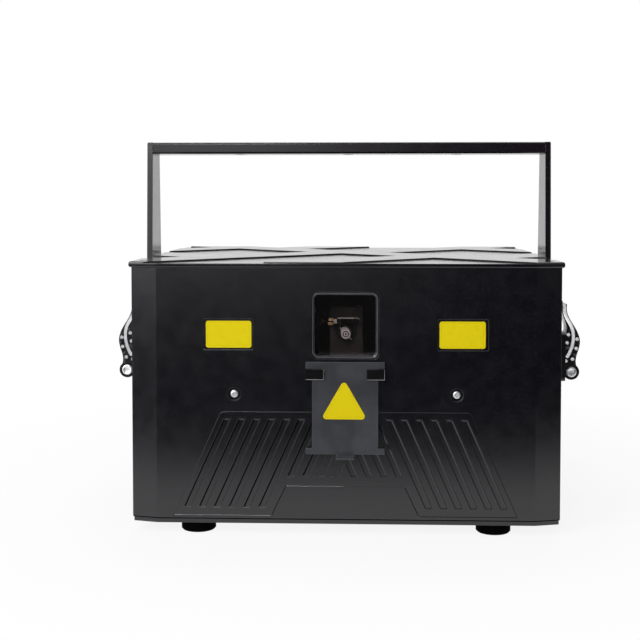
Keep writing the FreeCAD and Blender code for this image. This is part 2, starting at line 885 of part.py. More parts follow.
def make_yoke():
    half = "(arm_top_width / 2)"
    bar_low = f"({YOKE_TOP} - bar_height)"
    flange_low = f"({bar_low} - insert_flange_height)"
    bar = box("bar_blank", span("0", ARM_INNER), span("0", half), (bar_low, YOKE_TOP))
    soft = rounded("bar_soft", bar, "X", "bar_round")
    bores = []
    inserts = []
    for step in (-1, 0, 1):
        x = f"{step} * {INSERT_X}"
        seat = "insert_radius + press_gap"
        through = "bar_height + insert_flange_height"
        bores.append(rod(f"insert_seat_{step}", "Z", seat, bar_low, "bar_height", x))
        sleeve = rod(f"sleeve_{step}", "Z", "insert_radius", bar_low, "bar_height", x)
        flange = rod(f"flange_{step}", "Z", "insert_flange", flange_low, "insert_flange_height", x)
        thread = rod(f"insert_thread_{step}", "Z", "insert_bore", flange_low, through, x)
        inserts.append(cut(f"insert_{step}", join(f"insert_body_{step}", sleeve, flange), thread))
    screws = []
    holes = {-1: [], 1: []}
    middle = f"({bar_low} + bar_height / 2)"
    wide = "yoke_screw_radius + press_gap"
    length = "yoke_screw_length"
    for across in (-1, 1):
        start = f"{ARM_OUTER} - yoke_screw_length" if across > 0 else f"-{ARM_OUTER}"
        for along in (-1, 1):
            tag = f"{across}_{along}"
            y = f"{along} * yoke_screw_spread"
            screws.append(rod(f"yoke_screw_{tag}", "X", "yoke_screw_radius", start, length, 0, y, middle))
            holes[across].append(rod(f"yoke_hole_{tag}", "X", wide, start, length, 0, y, middle))
    node("yoke_bar", cut("yoke_bar", soft, *bores, *holes[-1], *holes[1]))
    node("clamp_inserts", group("clamp_inserts", inserts))
    node("yoke_screws", group("yoke_screws", screws))

    body = new_body("right_yoke_arm_blank")
    plan = new_sketch(body, "arm_plan", "YZ_Plane", ARM_INNER)
    low_half = "(arm_low_width / 2)"
    foot = "(pivot_height - arm_below)"
    outline(plan, [(f"-{low_half}", foot), (low_half, foot), (half, YOKE_TOP), (f"-{half}", YOKE_TOP)])
    blank = pad(body, plan, "arm_thickness")
    bottom = size("pivot_height") - size("arm_below")

    def low_corner(edge):
        spot = edge.BoundBox
        return spot.XLength > size("arm_thickness") - 0.01 and abs(spot.ZMax - bottom) < 0.01

    whole = soften(body, "Fillet", blank, low_corner, Radius="arm_round")
    outer = size("case_width") / 2 + size("yoke_gap") + size("arm_thickness")
    soften(body, "Chamfer", whole, lambda edge: level(edge, "X", outer), Size="arm_edge")
    bore = new_sketch(body, "arm_bore", "YZ_Plane", ARM_OUTER)
    circle(bore, "0", "pivot_height", "skewer_radius + pivot_fit")
    pocket(body, bore, "arm_thickness")
    pair("yoke_arm", cut("right_yoke_arm", body, *holes[1]))


# Yoke pivots and clamps

def pivot_rod(name, radius, start, length):
    """Cylinder on the axis that the yoke tilts about."""
    return rod(name, "X", radius, start, length, 0, 0, "pivot_height")


def make_pivots():
    bore = "skewer_radius + pivot_fit"
    boss = pivot_rod("boss_blank", "boss_radius", SIDE, "yoke_gap - turn_gap")
    pair("pivot_boss", cut("right_pivot_boss", boss, pivot_rod("boss_bore", bore, SIDE, "yoke_gap")))

    up = ("pivot_height - block_below", "pivot_height + block_above")
    block = box("block_blank", (BLOCK_INNER, BLOCK_OUTER), span("0", "block_depth / 2"), up)
    soft = rounded("block_soft", block, "X", "block_round")
    block_bore = pivot_rod("block_bore", bore, BLOCK_INNER, "block_thickness")
    pair("clamp_block", cut("right_clamp_block", soft, block_bore))

    head_start = f"({INNER_SIDE} - skewer_head_height)"
    head = pivot_rod("skewer_head", "skewer_head", head_start, "skewer_head_height")
    stem = pivot_rod("skewer_stem", "skewer_radius", head_start, f"{BARREL} - {head_start}")
    washer = pivot_rod("skewer_washer", "cam_washer_radius", BLOCK_OUTER, "cam_washer")
    length = "(lever_width + 2 * barrel_proud)"
    spot = (BARREL, 0, "pivot_height")
    barrel = rod("skewer_barrel", "Y", "barrel_radius", f"-{length} / 2", length, *spot)
    pair("clamp_skewer", join("right_clamp_skewer", head, stem, washer, barrel))


# Side view of the lever about its barrel, in shares of its belly and its reach
OUTER_LEAF = [(0.58, 0.194), (1.08, 0.43), (0.42, 0.664), (-0.52, 0.861), (-0.6, 1)]
INNER_LEAF = [
    (-1.36, 1.07), (-1.29, 0.93), (-1, 0.8), (-0.68, 0.7),
    (-0.62, 0.6), (-0.97, 0.47), (-1.13, 0.33), (-1.02, 0.194),
]
LEAF_GAP = [
    (-0.98, 1.11), (-0.96, 0.972), (-0.78, 0.84), (0, 0.667),
    (0.24, 0.54), (0.16, 0.417), (-0.5, 0.229),
]
LEVER_HOLES = [(0.72, 0.487), (0.62, 0.347), (0.15, 0.19), (-0.4, 0.553), (-0.56, 0.432), (-0.7, 0.16)]


def leaf_points(shares):
    """Points in the lever's plane for shares of its belly and its reach."""
    return [FreeCAD.Vector(x * size("lever_belly"), 0, z * size("lever_reach")) for x, z in shares]


def curve(points):
    """Smooth curve through points."""
    spline = Part.BSplineCurve()
    spline.interpolate(points)
    return spline


def ribbon(points, width):
    """Closed outline of a band along a curve, open-ended at its start and round at its end."""
    middle = curve(points)
    first = middle.FirstParameter
    run = middle.LastParameter - first
    steps = 2 * len(points)
    left = []
    right = []
    for step in range(steps + 1):
        share = first + run * step / steps
        heading = middle.tangent(share)[0]
        across = FreeCAD.Vector(heading.z, 0, -heading.x) * (width / 2)
        left.append(middle.value(share) + across)
        right.append(middle.value(share) - across)
    end = middle.value(share) + heading * (width / 2)
    arc = Part.Arc(left[-1], end, right[-1]).toShape()
    mouth = Part.makeLine(right[0], left[0])
    return Part.Wire([curve(left).toShape(), arc, curve(right[::-1]).toShape(), mouth])


def make_levers():
    eye_radius = size("eye_radius")
    width = size("lever_width")
    slot = size("lever_slot")
    along = AXES["Y"]
    thick = along * width
    centre = FreeCAD.Vector()
    root = FreeCAD.Vector(eye_radius * 0.8, 0, eye_radius * 0.4)
    outer = [root] + leaf_points(OUTER_LEAF)
    inner = leaf_points(INNER_LEAF) + [FreeCAD.Vector(-root.x, 0, root.z)]
    tip = Part.makeLine(outer[-1], inner[0])
    heel = Part.makeLine(inner[-1], outer[0])
    edge = Part.Wire([curve(outer).toShape(), tip, curve(inner).toShape(), heel])
    leaves = Part.Face(edge).extrude(thick)
    eye = Part.makeCylinder(eye_radius, width, centre, along)
    tools = [Part.Face(ribbon(leaf_points(LEAF_GAP), size("leaf_slot"))).extrude(thick)]
    for spot in leaf_points(LEVER_HOLES):
        tools.append(Part.makeCylinder(size("lever_hole"), width, spot, along))
    tools.append(Part.makeCylinder(size("barrel_radius") + size("pivot_fit"), width, centre, along))
    cheek = along * ((width - slot) / 2)
    tools.append(Part.makeCylinder(eye_radius + size("turn_gap"), slot, cheek, along))
    lever = doc.addObject("Part::Feature", "right_clamp_lever")
    lever.Shape = eye.fuse(leaves).cut(tools).removeSplitter()
    place(lever, BARREL, "-lever_width / 2", "pivot_height")
    doc.recompute()
    pair("clamp_lever", lever)


# Optics

def make_bench():
    front = f"({FRONT} + bench_front)"
    rear = f"({REAR} - bench_rear)"
    up = (BENCH_LOW, BENCH_TOP)
    node("optical_bench", box("optical_bench", span("0", BENCH_HALF), (front, rear), up))
    pillars = []
    tall = f"{BENCH_LOW} - {DECK}"
    for across in (-1, 1):
        x = f"{across} * ({BENCH_HALF} - pillar_from_edge)"
        for row, y in enumerate((f"{front} + pillar_from_edge", f"{rear} - pillar_from_edge")):
            pillars.append(rod(f"pillar_{across}_{row}", "Z", "pillar_radius", DECK, tall, x, y))
    node("bench_pillars", group("bench_pillars", pillars))


LANES = {"red": -1, "green": 0, "blue": 1}
SLANT = math.sqrt(0.5)


def slanted_plate(name, axis, turn, lengths, spot):
    """Thin plate turned by an eighth of a circle about an axis."""
    plate = doc.addObject("Part::Box", name)
    bind(plate, **lengths)
    place(plate, *spot, turn=(AXES[axis], turn))
    return plate


def make_lasers():
    holders = []
    filters = []
    start = "(beam_lane + laser_stand_off)"
    shelf = f"({BEAM} - filter_side / 2)"
    reach = f"filter_side / 2 * {SLANT}"
    lengths = {"Length": "filter_side", "Width": "filter_thickness", "Height": "filter_side"}
    lanes = [(colour, f"{step} * laser_pitch") for colour, step in LANES.items()]
    for colour, y in lanes:
        across = span(y, "laser_width / 2")
        up = (BENCH_TOP, f"{BENCH_TOP} + laser_height")
        housing = box(f"{colour}_housing", (start, f"{start} + laser_length"), across, up)
        lens = rod(f"{colour}_lens", "X", "lens_radius", f"{start} - lens_length", "lens_length", 0, y, BEAM)
        node(f"{colour}_laser", join(f"{colour}_laser", housing, lens))
    for tag, y in lanes + [("fold", SCAN_Y)]:
        half = "holder_side / 2"
        holders.append(box(f"{tag}_holder", span("beam_lane", half), span(y, half), (BENCH_TOP, shelf)))
        spot = (f"beam_lane - {reach}", f"{y} - {reach}", shelf)
        filters.append(slanted_plate(f"{tag}_filter", "Z", 45, lengths, spot))
    node("filter_holders", group("filter_holders", holders))
    node("dichroic_filters", group("dichroic_filters", filters))


COLLAR = "(-mirror_overhang)"
NOSE_X = f"({COLLAR} - clamp_length - mirror_gap)"
WALL_X = f"({NOSE_X} - nose_length - mount_wall - mirror_gap)"
MIRROR_REAR = f"({SCAN_Y} + x_mirror_length / 2)"
NOSE_Y = f"({MIRROR_REAR} + mirror_gap)"
WALL_Y = f"({NOSE_Y} + nose_length)"


def lower_rod(name, radius, start, length):
    """Cylinder on the lower mirror's axis."""
    return rod(name, "Y", radius, start, length, 0, 0, BEAM)


def upper_rod(name, radius, start, length):
    """Cylinder on the upper mirror's axis."""
    return rod(name, "X", radius, start, length, 0, SCAN_Y, UPPER_SCAN)


def make_galvo_motors():
    fit = "shaft_radius + shaft_fit"
    x_body = lower_rod("x_motor_body", "motor_radius", WALL_Y, "motor_length")
    x_nose = lower_rod("x_motor_nose", "nose_radius", NOSE_Y, "nose_length")
    x_bore = lower_rod("x_motor_bore", fit, NOSE_Y, "motor_length")
    node("x_galvo_motor", cut("x_galvo_motor", join("x_motor", x_body, x_nose), x_bore))
    y_start = f"({NOSE_X} - nose_length)"
    y_body = upper_rod("y_motor_body", "motor_radius", f"{y_start} - motor_length", "motor_length")
    y_nose = upper_rod("y_motor_nose", "nose_radius", y_start, "nose_length")
    y_bore = upper_rod("y_motor_bore", fit, f"{NOSE_X} - motor_length", "motor_length")
    node("y_galvo_motor", cut("y_galvo_motor", join("y_motor", y_body, y_nose), y_bore))

    rim = "(motor_radius + mount_wall / 4)"
    front = f"({SCAN_Y} - {rim})"
    top = f"({UPPER_SCAN} + {rim})"
    right = "(motor_radius + mount_wall / 2)"
    back = (WALL_Y, f"{WALL_Y} + mount_wall")
    low = (BENCH_TOP, f"{BENCH_TOP} + mount_floor")
    floor = box("mount_floor_block", (WALL_X, right), (front, back[1]), low)
    wide = (WALL_X, f"{WALL_X} + mount_wall")
    left_wall = box("mount_left_wall", wide, (front, f"{SCAN_Y} + {rim}"), (BENCH_TOP, top))
    back_wall = box("mount_back_wall", span("0", right), back, (BENCH_TOP, top))
    x_seat = lower_rod("x_motor_seat", "motor_radius + press_gap", WALL_Y, "mount_wall")
    y_seat = upper_rod("y_motor_seat", "motor_radius + press_gap", WALL_X, "mount_wall")
    node("galvo_mount", cut("galvo_mount", join("mount_blank", floor, left_wall, back_wall), x_seat, y_seat))


def make_mirrors():
    x_length = f"({NOSE_Y} - {MIRROR_REAR} + motor_length / 2)"
    x_stem = lower_rod("x_stem", "shaft_radius", MIRROR_REAR, x_length)
    x_clamp = lower_rod("x_clamp", "clamp_radius", MIRROR_REAR, "mirror_gap - turn_gap")
    node("x_mirror_shaft", join("x_mirror_shaft", x_stem, x_clamp))
    y_length = f"({COLLAR} - {NOSE_X} + motor_length / 2)"
    y_stem = upper_rod("y_stem", "shaft_radius", f"{COLLAR} - {y_length}", y_length)
    y_clamp = upper_rod("y_clamp", "clamp_radius", f"{COLLAR} - clamp_length", "clamp_length")
    node("y_mirror_shaft", join("y_mirror_shaft", y_stem, y_clamp))

    through = f"{SLANT} * mirror_thickness / 2"
    along = f"{SLANT} * x_mirror_width / 2"
    lengths = {"Length": "x_mirror_width", "Width": "x_mirror_length", "Height": "mirror_thickness"}
    spot = (f"-{along} - {through}", f"{SCAN_Y} - x_mirror_length / 2", f"{BEAM} + {along} - {through}")
    node("x_mirror", slanted_plate("x_mirror", "Y", 45, lengths, spot))
    along = f"{SLANT} * y_mirror_width / 2"
    lengths = {"Length": "y_mirror_length", "Width": "y_mirror_width", "Height": "mirror_thickness"}
    spot = (COLLAR, f"{SCAN_Y} - {along} - {through}", f"{UPPER_SCAN} + {along} - {through}")
    node("y_mirror", slanted_plate("y_mirror", "X", -45, lengths, spot))


# Electronics

def make_board(name, x, y):
    """Circuit board on four spacers, with its two largest components."""
    low = f"({DECK} + spacer_height)"
    top = f"({low} + board_thickness)"
    parts = [box(f"{name}_plate", (x, f"{x} + board_length"), (y, f"{y} + board_width"), (low, top))]
    edge = "(2 * spacer_radius)"
    for column, across in enumerate((f"{x} + {edge}", f"{x} + board_length - {edge}")):
        for line, along in enumerate((f"{y} + {edge}", f"{y} + board_width - {edge}")):
            tag = f"{name}_spacer_{column}{line}"
            parts.append(rod(tag, "Z", "spacer_radius", DECK, "spacer_height", across, along))
    deep = (f"{y} + board_width / 4", f"{y} + board_width / 2")
    for step in (1, 2):
        wide = span(f"{x} + board_length * {step} / 3", "spacer_radius * 3")
        parts.append(box(f"{name}_chip_{step}", wide, deep, (top, f"{top} + chip_height")))
    return node(name, join(name, *parts))


def make_electronics():
    right = f"({BENCH_HALF} - 2 * pillar_from_edge - board_length)"
    make_board("galvo_driver_board", right, f"({FRONT} + bench_front + 2 * pillar_from_edge)")
    make_board("control_board", right, "(2 * pillar_radius)")
    wide = (f"-{BENCH_HALF}", f"-{BENCH_HALF} + supply_length")
    up = (DECK, f"{DECK} + supply_height")
    node("power_supply", box("power_supply", wide, span("0", "supply_width / 2"), up))


# Fans

def fan_blade(depth, angle):
    """One flat vane set across the hub, turned about the fan's axis."""
    tip = size("fan_bore") - size("fan_tip_gap")
    root = size("hub_radius") - size("blade_root")
    thick = size("blade_thickness")
    chord = (depth - size("blade_margin")) / math.cos(math.radians(size("blade_angle")))
    vane = Part.makeBox(tip - root, thick, chord)
    vane.translate(FreeCAD.Vector(root, -thick / 2, -chord / 2))
    vane.rotate(FreeCAD.Vector(), AXES["X"], 90 + size("blade_angle"))
    vane.rotate(FreeCAD.Vector(), AXES["Y"], angle)
    return vane


def make_fan(side, across):
    x = f"{across} * {FAN_X}"
    start = f"({INNER_REAR} - fan_depth)"
    wall = (start, f"{start} + fan_wall")
    half = "fan_side / 2"
    body = box(f"{side}_fan_body", span(x, half), (start, INNER_REAR), span(FAN_Z, half))
    bore = rod(f"{side}_fan_bore", "Y", "fan_bore", start, "fan_depth", x, 0, FAN_Z)
    ring = cut(f"{side}_fan_ring", body, bore)
    seat = rod(f"{side}_fan_seat", "Y", "hub_radius", start, "fan_wall", x, 0, FAN_Z)
    level_arm = box(f"{side}_fan_arm_a", span(x, "fan_bore"), wall, span(FAN_Z, "fan_wall"))
    upright_arm = box(f"{side}_fan_arm_b", span(x, "fan_wall"), wall, span(FAN_Z, "fan_bore"))
    post = rod(f"{side}_fan_post", "Y", "shaft_radius", start, "fan_wall + hub_depth / 2", x, 0, FAN_Z)
    node(f"{side}_fan_frame", join(f"{side}_fan_frame", ring, seat, level_arm, upright_arm, post))

    rotor = doc.addObject("Part::Feature", f"{side}_fan_rotor")
    depth = size("hub_depth")
    low = AXES["Y"] * (-depth / 2)
    hub = Part.makeCylinder(size("hub_radius"), depth, low, AXES["Y"])
    count = int(size("blade_count"))
    blades = [fan_blade(depth, 360 / count * step) for step in range(count)]
    hole = Part.makeCylinder(size("shaft_radius") + size("shaft_fit"), depth / 2 + 0.5, low, AXES["Y"])
    rotor.Shape = hub.fuse(blades).cut(hole).removeSplitter()
    place(rotor, x, f"{start} + fan_wall + turn_gap + hub_depth / 2", FAN_Z)
    node(f"{side}_fan_rotor", rotor)


# Rear panel and its fittings

def row_rod(name, radius, start, length, x, z=ROW):
    """Cylinder across the rear panel, in the row of fittings."""
    return rod(name, "Y", radius, start, length, x, 0, z)


def grille(name, x):
    """Slots of one fan grille: rings with four spokes left standing."""
    rings = []
    for step in range(int(size("grille_rings"))):
        inner = f"(grille_web + {step} * (grille_slot + grille_web))"
        outer = f"{inner} + grille_slot"
        hole = row_rod(f"{name}_hole_{step}", outer, INNER_REAR, "wall_thickness", x, FAN_Z)
        core = row_rod(f"{name}_core_{step}", inner, INNER_REAR, "wall_thickness", x, FAN_Z)
        rings.append(cut(f"{name}_ring_{step}", hole, core))
    thin = "spoke_width / 2"
    deep = (INNER_REAR, REAR)
    level_spoke = box(f"{name}_spoke_a", span(x, "fan_side"), deep, span(FAN_Z, thin))
    upright_spoke = box(f"{name}_spoke_b", span(x, thin), deep, span(FAN_Z, "fan_side"))
    return cut(name, group(f"{name}_rings", rings), level_spoke, upright_spoke)


ROUND_FITTINGS = {"mains_inlet": MAINS_X, "dmx_input": DMX_IN_X, "dmx_output": DMX_OUT_X}
MOUTH = f"({REAR} + flange_thickness)"
CAVITY_FLOOR = f"({MOUTH} - cavity_depth)"


def socket_centres():
    """Middle of each 25-pin socket."""
    return [f"({SOCKETS_X} + {step} * socket_pitch / 2)" for step in (-1, 1)]


def d_shape(name, x, play, start, length):
    """Bar across the rear panel with the tapering outline of a multi-pin socket."""
    body = new_body(name)
    profile = new_sketch(body, f"{name}_profile", "XZ_Plane", f"-({start})")
    top = f"(shell_width / 2 + {play})"
    bottom = f"({top} - shell_taper)"
    tall = f"(shell_height / 2 + {play})"
    corners = [
        (f"{x} - {top}", f"{ROW} + {tall}"),
        (f"{x} - {bottom}", f"{ROW} - {tall}"),
        (f"{x} + {bottom}", f"{ROW} - {tall}"),
        (f"{x} + {top}", f"{ROW} + {tall}"),
    ]
    outline(profile, corners)
    pad(body, profile, length, backwards=True)
    return body


def make_rear_panel():
    plate = box("rear_plate", span("0", SIDE), (INNER_REAR, REAR), (DECK, EAVES))
    tools = [grille("right_grille", FAN_X), grille("left_grille", f"-{FAN_X}")]
    wide = "connector_radius + panel_fit"
    for name, x in ROUND_FITTINGS.items():
        tools.append(row_rod(f"{name}_hole", wide, INNER_REAR, "wall_thickness", x))
    tools.append(row_rod("key_hole", "switch_radius + panel_fit", INNER_REAR, "wall_thickness", KEY_X))
    for index, x in enumerate(socket_centres()):
        tools.append(d_shape(f"socket_hole_{index}", x, "panel_fit", INNER_REAR, "wall_thickness"))
    return node("rear_panel", cut("rear_panel", plate, *tools))


def flanged(name, x):
    """Round chassis connector: square flange on the panel and a barrel through it."""
    deep = (REAR, MOUTH)
    flange = box(f"{name}_flange", span(x, "flange_width / 2"), deep, span(ROW, "flange_height / 2"))
    soft = rounded(f"{name}_flange_soft", flange, "Y", "flange_corner")
    barrel = row_rod(f"{name}_barrel", "connector_radius", f"{MOUTH} - connector_depth", "connector_depth", x)
    return join(f"{name}_shell", soft, barrel)


def hollow(name, x):
    """Chassis connector with the space that a plug enters."""
    space = row_rod(f"{name}_cavity", "cavity_radius", CAVITY_FLOOR, "cavity_depth", x)
    return cut(f"{name}_hollow", flanged(name, x), space)


def pin_spots(x):
    """Three contacts on a circle."""
    for step in range(3):
        angle = math.radians(90 + 120 * step)
        across = f"({x} + pin_circle * {math.cos(angle):.4f})"
        yield across, f"({ROW} + pin_circle * {math.sin(angle):.4f})"


def make_connectors():
    core = row_rod("mains_core", "core_radius", CAVITY_FLOOR, "pin_length", MAINS_X)
    node("mains_inlet", join("mains_inlet", hollow("mains", MAINS_X), core))
    pins = [
        row_rod(f"dmx_pin_{index}", "pin_radius", CAVITY_FLOOR, "pin_length", x, z)
        for index, (x, z) in enumerate(pin_spots(DMX_IN_X))
    ]
    node("dmx_input", join("dmx_input", hollow("dmx_in", DMX_IN_X), *pins))
    holes = [
        row_rod(f"dmx_hole_{index}", "pin_radius", CAVITY_FLOOR, "cavity_depth", x, z)
        for index, (x, z) in enumerate(pin_spots(DMX_OUT_X))
    ]
    node("dmx_output", cut("dmx_output", flanged("dmx_out", DMX_OUT_X), *holes))

    sockets = []
    low = f"({INNER_REAR} - shell_length)"
    length = f"{REAR} + shell_length - {low}"
    deep = (REAR, f"{REAR} + socket_flange")
    for index, x in enumerate(socket_centres()):
        wide = span(x, "socket_flange_width / 2")
        flange = box(f"socket_flange_{index}", wide, deep, span(ROW, "socket_flange_height / 2"))
        shell = d_shape(f"socket_shell_{index}", x, "0", low, length)
        sockets.append(join(f"socket_{index}", flange, shell))
    node("show_control_sockets", group("show_control_sockets", sockets))


def make_key_switch():
    mouth = f"({REAR} + bezel_length)"
    plug_low = f"({mouth} - plug_depth)"
    bezel = row_rod("key_bezel", "bezel_radius", REAR, "bezel_length", KEY_X)
    barrel = row_rod("key_barrel", "switch_radius", f"{REAR} - switch_length", "switch_length", KEY_X)
    seat = row_rod("key_seat", "plug_radius + shaft_fit", plug_low, "plug_depth", KEY_X)
    node("key_switch", cut("key_switch", join("key_case", bezel, barrel), seat))

    plug = row_rod("plug_blank", "plug_radius", f"{plug_low} + turn_gap", "plug_depth - turn_gap", KEY_X)
    half = "(key_thickness / 2)"
    tall = "(key_blade / 2)"
    blade_low = f"({mouth} - plug_depth / 2)"
    gap = "+ press_gap"
    slot = box("key_slot", span(KEY_X, half + gap), (blade_low, mouth), span(ROW, tall + gap))
    node("key_plug", cut("key_plug", plug, slot))
    deep = (blade_low, f"{mouth} + key_bow_radius")
    blade = box("key_blade_bar", span(KEY_X, half), deep, span(ROW, tall))
    edge = f"{KEY_X} - {half}"
    centre = (0, f"{mouth} + key_reach - key_bow_radius", ROW)
    bow = rod("key_bow", "X", "key_bow_radius", edge, "key_thickness", *centre)
    ring_hole = rod("key_ring_hole", "X", "key_bow_radius / 3", edge, "key_thickness", *centre)
    node("switch_key", cut("switch_key", join("key_whole", blade, bow), ring_hole))


def make_safety_bracket():
    half = "(eye_plate_width / 2)"
    thin = "(plate_thickness / 2)"
    deep = (REAR, f"{REAR} + plate_thickness")
    foot = box("eye_foot", span("0", half), deep, span(EYE_Z, "eye_plate_height / 2"))
    ledge = box("eye_ledge", span("0", f"{half} / 2"), (REAR, f"{REAR} + eye_reach"), span(EYE_Z, thin))
    middle = f"{REAR} + plate_thickness + eye_bore + turn_gap"
    hole = rod("eye_hole", "Z", "eye_bore", f"{EYE_Z} - {thin}", "plate_thickness", 0, middle)
    node("safety_bracket", cut("safety_bracket", join("eye_whole", foot, ledge), hole))


def make_cover_screws():
    seat = f"({EAVES} + cover_height - strap_relief - screw_head_height)"
    heads = []
    for index, (x, y) in enumerate(post_spots()):
        heads.append(screw_head(f"cover_screw_{index}", "Z", seat, "screw_head_height", x, y))
    return node("cover_screws", group("cover_screws", heads))


def check_document():
    """Stops before anything is written if a feature failed or a shape is unsound."""
    doc.recompute()
    for thing in doc.Objects:
        if "Invalid" in thing.State or "Error" in thing.State:
            raise ValueError(f"{thing.Label} failed")
    for thing in nodes:
        if thing.Shape.isNull() or not thing.Shape.isValid() or not thing.Shape.Solids:
            raise ValueError(f"{thing.Label} has no sound shape")


def write_parts():
    """Writes each sub-part to a file of its own name."""
    os.makedirs("parts", exist_ok=True)
    for thing in nodes:
        thing.Shape.exportStep(f"parts/{thing.Label}.step")
        print(f"{thing.Label}: {len(thing.Shape.Solids)} solid(s), {thing.Shape.Volume / 1000:.1f} cm3")


def main():
    make_base_plate()
    make_front_panel()
    make_front_trim()
    make_top_cover()
    make_side_panels()
    make_corner_posts()
    make_feet()
    make_panel_screws()
    make_front_screws()
    make_window()
    make_shutter_plate()
    make_shutter_guides()
    make_yoke()
    make_pivots()
    make_levers()
    make_bench()
    make_lasers()
    make_galvo_motors()
    make_mirrors()
    make_electronics()
    make_fan("right", 1)
    make_fan("left", -1)
    make_rear_panel()
    make_connectors()
    make_key_switch()
    make_safety_bracket()
    make_cover_screws()
    check_document()
    write_parts()


main()
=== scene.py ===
import json
import logging
import math
from abc import ABC, abstractmethod
from collections.abc import Iterable, Sequence
from dataclasses import dataclass
from enum import Enum

import bmesh
import bpy
from mathutils import Matrix, Vector


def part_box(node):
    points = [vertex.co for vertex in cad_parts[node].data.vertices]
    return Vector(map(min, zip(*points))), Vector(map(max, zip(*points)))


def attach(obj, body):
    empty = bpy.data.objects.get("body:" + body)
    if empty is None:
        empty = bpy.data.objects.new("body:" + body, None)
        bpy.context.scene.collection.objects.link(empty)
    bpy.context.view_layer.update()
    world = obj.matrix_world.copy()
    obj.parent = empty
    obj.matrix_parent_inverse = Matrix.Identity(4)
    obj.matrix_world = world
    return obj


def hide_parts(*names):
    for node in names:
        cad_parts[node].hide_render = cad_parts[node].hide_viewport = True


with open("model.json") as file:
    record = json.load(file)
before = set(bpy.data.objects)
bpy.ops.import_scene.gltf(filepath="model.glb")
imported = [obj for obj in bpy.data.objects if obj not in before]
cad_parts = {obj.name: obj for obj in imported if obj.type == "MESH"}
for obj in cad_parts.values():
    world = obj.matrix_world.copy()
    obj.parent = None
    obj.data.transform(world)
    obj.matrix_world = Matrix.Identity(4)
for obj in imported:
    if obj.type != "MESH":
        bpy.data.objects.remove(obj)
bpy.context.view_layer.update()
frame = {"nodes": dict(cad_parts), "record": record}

LOG = logging.getLogger("laser_projector")
Tree = bpy.types.NodeTree
Node = bpy.types.Node
Socket = bpy.types.NodeSocket
Mesh = bpy.types.Mesh
Shape = bmesh.types.BMesh
Corners = tuple[Vector, Vector]
Point = tuple[float, float, float]
Pair = tuple[float, float]
Outline = tuple[Pair, ...]
# Place in metres, way that a copy faces, and its size in millimetres
Spot = tuple[Vector, Vector, Vector]

MM = 0.001
SIDES = ("left", "right")
HERE = Matrix.Identity(4)
BACK = Vector((0, 1, 0))
# Stands a shape that was drawn flat upright, with its face to the front
FRONT_UP = Matrix(((1, 0, 0, 0), (0, 0, -1, 0), (0, 1, 0, 0), (0, 0, 0, 1)))
# Faces that bend more than this have a sharp edge between them
SHARP = math.radians(35)
# Points that are closer than this, in metres, count as one
SAME = 1e-5
# Nearly all values of a noise lie in this span
NOISE = (0.3, 0.7)
# Lets a ramp ease in and out
SOFT = {"interpolation_type": "SMOOTHSTEP"}


def mm(x: float, y: float, z: float) -> Vector:
    """Returns a point given in millimetres, in metres."""
    return Vector((x, y, z)) * MM


def per(size_mm: float) -> float:
    """Returns the texture scale at which one cell of a pattern is that many millimetres."""
    return 1 / (size_mm * MM)


def linear(colour: str) -> tuple[float, float, float, float]:
    """Returns an sRGB hex colour as linear light with full alpha."""
    parts = [int(colour[start:start + 2], 16) / 255 for start in (1, 3, 5)]
    red, green, blue = (p / 12.92 if p <= 0.04045 else ((p + 0.055) / 1.055) ** 2.4 for p in parts)
    return red, green, blue, 1.0


def add(tree: Tree, kind: str, links: dict[int | str, object] | tuple[object, ...] = (), take: int | str = 0,
        to: Socket | None = None, **settings: object) -> Socket | None:
    """Adds one node to a tree with its settings and links.

    Args:
        tree: Shader or geometry tree.
        kind: Blender's name of the node type.
        links: What feeds or fills the inputs, by name or index, or in order from the first.
        take: Output that is wanted.
        to: Input that this output feeds.
        settings: Properties of the node.

    Returns:
        The wanted output, or None from a node that has no output.
    """
    made = tree.nodes.new(kind)
    for name, value in settings.items():
        setattr(made, name, value)
    for key, source in (links if isinstance(links, dict) else dict(enumerate(links))).items():
        if isinstance(source, Socket):
            tree.links.new(source, made.inputs[key])
        else:
            made.inputs[key].default_value = source
    wanted = made.outputs[take] if made.outputs else None
    if to is not None:
        tree.links.new(wanted, to)
    return wanted


class Grain(Enum):
    """Which way the marks of a tool run on a metal, as stretch along X, Y and Z."""

    EVEN = (1.0, 1.0, 1.0)
    ALONG_X = (0.04, 1.0, 1.0)
    ALONG_Y = (1.0, 0.04, 1.0)


